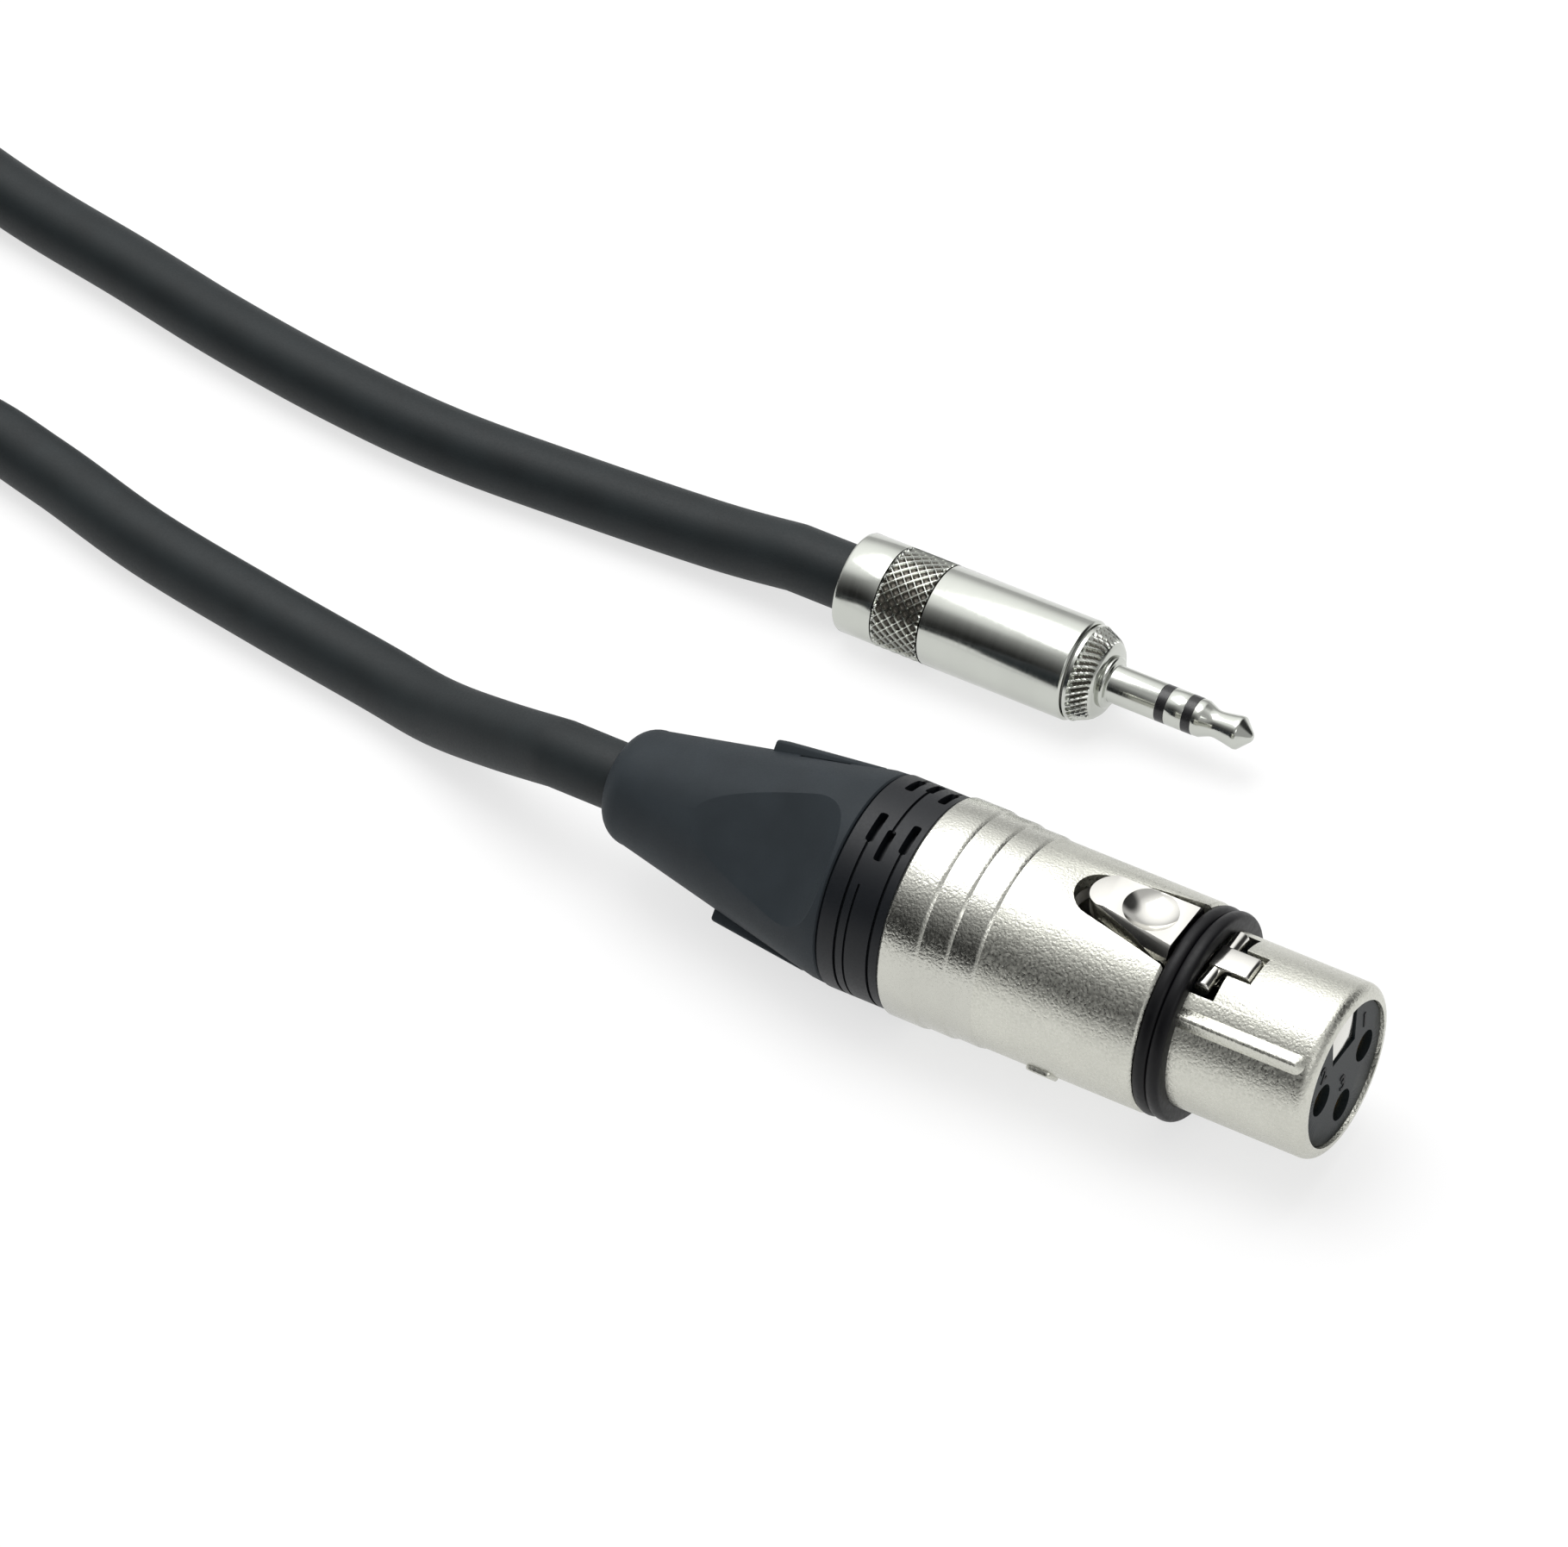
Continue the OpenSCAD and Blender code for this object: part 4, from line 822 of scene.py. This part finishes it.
# ---------- Jack sleeve ----------
# The ground contact: the plug's shaft with its base ring and fluted crown, turned and
# milled from one bar, bright nickel. Its thread and cable clamp lie inside the handle.
shaft_r = 1.75
shaft_bore_r = 1.37
shaft_front_x = -38.05
shoulder_x = -43
crown_x = (-45.8, -43.5)
flutes = 40
steps = 10
crown = turned("crown", [
    (crown_x[1], 1.8), (crown_x[1], 3.1), (crown_x[1] - 0.08, 3.35), (crown_x[1] - 0.25, 3.55),
    *[(crown_x[1] - 0.25 - 1.7 * i / 8, 3.55 + 0.87 * (i / 8) ** 0.7) for i in range(1, 9)],
    (crown_x[1] - 2.0, 4.5), (crown_x[0] - 0.02, 4.5), (crown_x[0] - 0.02, 1.8),
    (crown_x[1], 1.8)], sides=flutes * steps, axis=jack_axis)
for vertex in crown.data.vertices:
    y, z = vertex.co.y - jack_axis[0] * mm, vertex.co.z - jack_axis[1] * mm
    radius = math.hypot(y, z) / mm
    depth = (vertex.co.x / mm - crown_x[0]) / (crown_x[1] - crown_x[0])
    if radius > 3.6 and 0.14 < depth < 0.88:
        phase = (math.atan2(z, y) / (2 * math.pi) * flutes + 1.6 * depth) % 1
        scale = 1 - 0.32 * max(0.0, 1 - (abs(phase - 0.5) / 0.33) ** 2) / radius
        vertex.co.y = jack_axis[0] * mm + y * scale
        vertex.co.z = jack_axis[1] * mm + z * scale
smooth(crown, 25)
crown.data.materials.append(turned_nickel)
crown.data.materials.append(painted_pit_shade)
# Faces down in the flutes get the same painted shade.
for face in crown.data.polygons:
    y, z = face.center.y / mm - jack_axis[0], face.center.z / mm - jack_axis[1]
    depth = (face.center.x / mm - crown_x[0]) / (crown_x[1] - crown_x[0])
    phase = (math.atan2(z, y) / (2 * math.pi) * flutes + 1.6 * depth) % 1
    if math.hypot(y, z) > 3.3 and 0.2 < depth < 0.84 and abs(phase - 0.5) < 0.2:
        face.material_index = 1
shaft = turned("jack_shaft", [
    (shaft_front_x, shaft_bore_r), (shaft_front_x, shaft_r - 0.03),
    (shaft_front_x - 0.05, shaft_r), (shoulder_x + 0.1, shaft_r),
    (shoulder_x, 1.95), (shoulder_x, 2.3), (shoulder_x - 0.15, 2.45), (crown_x[1], 2.45),
    (crown_x[1], shaft_bore_r), (shaft_front_x, shaft_bore_r)], axis=jack_axis)
eased(shaft, 0.04, 2, 40)
smooth(shaft)
shaft.data.materials.append(turned_nickel)
thread_x = (-45.82, -49.55)
thread_crest_r = 3.85
thread_root_r = 3.6
inner = turned("thread", [
    (thread_x[0], shaft_bore_r), (thread_x[0], thread_crest_r)] + [
    (-46.05 - 0.25 * i, thread_crest_r if i % 2 == 0 else thread_root_r) for i in range(14)] + [
    (thread_x[1], thread_root_r), (thread_x[1], shaft_bore_r), (thread_x[0], shaft_bore_r)],
    axis=jack_axis)
smooth(inner)
clamp_r = 3.47
clamp_bore_r = 3.15
clamp_x = (-66.9, -63.7)
clamp = turned("clamp", [
    (clamp_x[0], clamp_bore_r), (clamp_x[0], clamp_r), (clamp_x[1], clamp_r),
    (clamp_x[1], clamp_bore_r), (clamp_x[0], clamp_bore_r)], axis=jack_axis)
cut(clamp, plate("gap", [(-68, jack_axis[0] - 1.6), (-62, jack_axis[0] - 1.6),
                         (-62, jack_axis[0] + 1.6), (-68, jack_axis[0] + 1.6)], -5, 0))
arm_x = (-64.2, -48.75)
ground_arm = turned("ground_arm", [
    (arm_x[0], clamp_bore_r), (arm_x[0], clamp_r), (arm_x[1], clamp_r),
    (arm_x[1], clamp_bore_r), (arm_x[0], clamp_bore_r)], axis=jack_axis)
cut(ground_arm, plate("rest", [(-70, 30), (-40, 30), (-40, 45), (-70, 45)],
                      jack_axis[1] - 2.6, 5))
sleeve = joined(shaft, crown, inner, clamp, ground_arm)
sleeve.name = "jack_sleeve_contact"
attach(sleeve, "lead")
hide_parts("jack_sleeve")

# ---------- Jack tip and ring ----------
# The tip and ring contacts with the two black bands that part them, all pressed on the
# tip's rod and ground to one diameter. The tip has a waist for the socket's spring.
jack_tip_x = -29
tip = turned("jack_tip_contact", [
    (-53.75, 0.45), (-34.5, 0.45), (-34.5, shaft_r - 0.05), (-34.4, shaft_r - 0.02),
    (-33.85, shaft_r - 0.05), (-33.7, shaft_r - 0.12), (-33.2, 1.42), (-32.9, 1.3),
    (-32.6, 1.25), (-32.3, 1.26), (-31.6, 1.36), (-30.7, 1.52), (-30.4, 1.56),
    (-30.2, 1.53), (-30.1, 1.46), (-29.3, 0.65), (-29.1, 0.46), (jack_tip_x, 0.3),
    (jack_tip_x + 0.02, 0)],
    axis=jack_axis)
smooth(tip, 28)
ring_x = (-37.15, -35.4)
ring_rod_r = 0.98
ring_bore_r = 0.72
ring = turned("jack_ring_contact", [
    (ring_x[0], ring_rod_r), (ring_x[0], shaft_r - 0.03), (ring_x[0] + 0.05, shaft_r),
    (ring_x[1] - 0.05, shaft_r), (ring_x[1], shaft_r - 0.03), (ring_x[1], ring_bore_r),
    (-51.75, ring_bore_r), (-51.75, 2.6), (-51.4, 2.6), (-51.4, ring_rod_r),
    (ring_x[0], ring_rod_r)], axis=jack_axis)
smooth(ring)
for piece, node in ((tip, "jack_tip"), (ring, "jack_ring")):
    piece.data.materials.append(turned_nickel)
    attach(piece, "lead")
    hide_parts(node)
band_black = finish("band_plastic", (0.01, 0.01, 0.011), 0.3, grain=0.2, bump=0.002)
for node in ("ring_insulator", "tip_insulator"):
    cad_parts[node].data.materials.clear()
    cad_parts[node].data.materials.append(band_black)

# ---------- Floor and light ----------
# A level surface that shows white and keeps the shadows, a large soft lamp overhead and a
# small one at the side. The room is pale, and its dark wall and doorway show in the metal.
bpy.ops.object.select_all(action="DESELECT")
bpy.ops.mesh.primitive_plane_add(size=6, location=(0, 0, floor_z * mm))
floor = bpy.context.object
floor.name = "floor"
floor_finish = bpy.data.materials.new("pale_floor")
floor_finish.use_nodes = True
pale = floor_finish.node_tree.nodes["Principled BSDF"]
pale.inputs["Base Color"].default_value = (0.93, 0.93, 0.93, 1)
pale.inputs["Roughness"].default_value = 0.9
pale.inputs["Specular IOR Level"].default_value = 0.0
floor_nodes, floor_links = floor_finish.node_tree.nodes, floor_finish.node_tree.links
white = floor_nodes.new("ShaderNodeEmission")
path = floor_nodes.new("ShaderNodeLightPath")
seen = floor_nodes.new("ShaderNodeMath")
seen.operation = "ADD"
floor_links.new(path.outputs["Is Camera Ray"], seen.inputs[0])
floor_links.new(path.outputs["Is Glossy Ray"], seen.inputs[1])
white_share = 0.7
share = floor_nodes.new("ShaderNodeMath")
share.operation = "MULTIPLY"
share.inputs[1].default_value = white_share
floor_links.new(seen.outputs["Value"], share.inputs[0])
mixed = floor_nodes.new("ShaderNodeMixShader")
floor_links.new(share.outputs["Value"], mixed.inputs["Fac"])
floor_links.new(pale.outputs["BSDF"], mixed.inputs[1])
floor_links.new(white.outputs["Emission"], mixed.inputs[2])
floor_links.new(mixed.outputs["Shader"], floor_nodes["Material Output"].inputs["Surface"])
floor.data.materials.append(floor_finish)

for name, place, size, power in (("overhead", (-0.17, 0.09, 0.52), 0.40, 1.6),
                                 ("side", (0.35, -0.30, 0.40), 0.18, 0.25)):
    bpy.ops.object.light_add(type="AREA", location=place)
    lamp = bpy.context.object
    lamp.name = name
    lamp.data.size = size
    lamp.data.energy = power
    lamp.rotation_mode = "QUATERNION"
    lamp.rotation_quaternion = (Vector(place) - look_at).to_track_quat("Z", "Y")

world = bpy.context.scene.world or bpy.data.worlds.new("sky")
bpy.context.scene.world = world
world.use_nodes = True
sky_nodes, sky_links = world.node_tree.nodes, world.node_tree.links
background = sky_nodes["Background"]
direction = sky_nodes.new("ShaderNodeTexCoord")


def towards(axis, stops):
    """A colour ramp over how nearly a direction of the room points along an axis."""
    near = sky_nodes.new("ShaderNodeVectorMath")
    near.operation = "DOT_PRODUCT"
    near.inputs[1].default_value = axis
    sky_links.new(direction.outputs["Generated"], near.inputs[0])
    ramp = sky_nodes.new("ShaderNodeValToRGB")
    while len(ramp.color_ramp.elements) < len(stops):
        ramp.color_ramp.elements.new(0.5)
    for stop, (place, level) in zip(ramp.color_ramp.elements, stops):
        stop.position = place
        stop.color = (level, level, level, 1)
    sky_links.new(near.outputs["Value"], ramp.inputs["Fac"])
    return ramp


sky = towards((-0.37, 0.30, 0.88), ((0.2, 0.5), (0.62, 0.6), (0.84, 1.3), (1.0, 1.6)))
wall = towards((-0.37, -0.93, 0.0), ((0.55, 1.0), (0.8, 0.3), (0.93, 0.06), (1.0, 0.02)))
doorway = towards((0.62, 0.63, 0.47), ((0.84, 1.0), (0.95, 0.08)))
light = sky.outputs["Color"]
for shade in (wall, doorway):
    darker = sky_nodes.new("ShaderNodeMix")
    darker.data_type = "RGBA"
    darker.blend_type = "MULTIPLY"
    darker.inputs["Factor"].default_value = 1
    sky_links.new(light, darker.inputs["A"])
    sky_links.new(shade.outputs["Color"], darker.inputs["B"])
    light = darker.outputs["Result"]
sky_links.new(light, background.inputs["Color"])
background.inputs["Strength"].default_value = 1.0
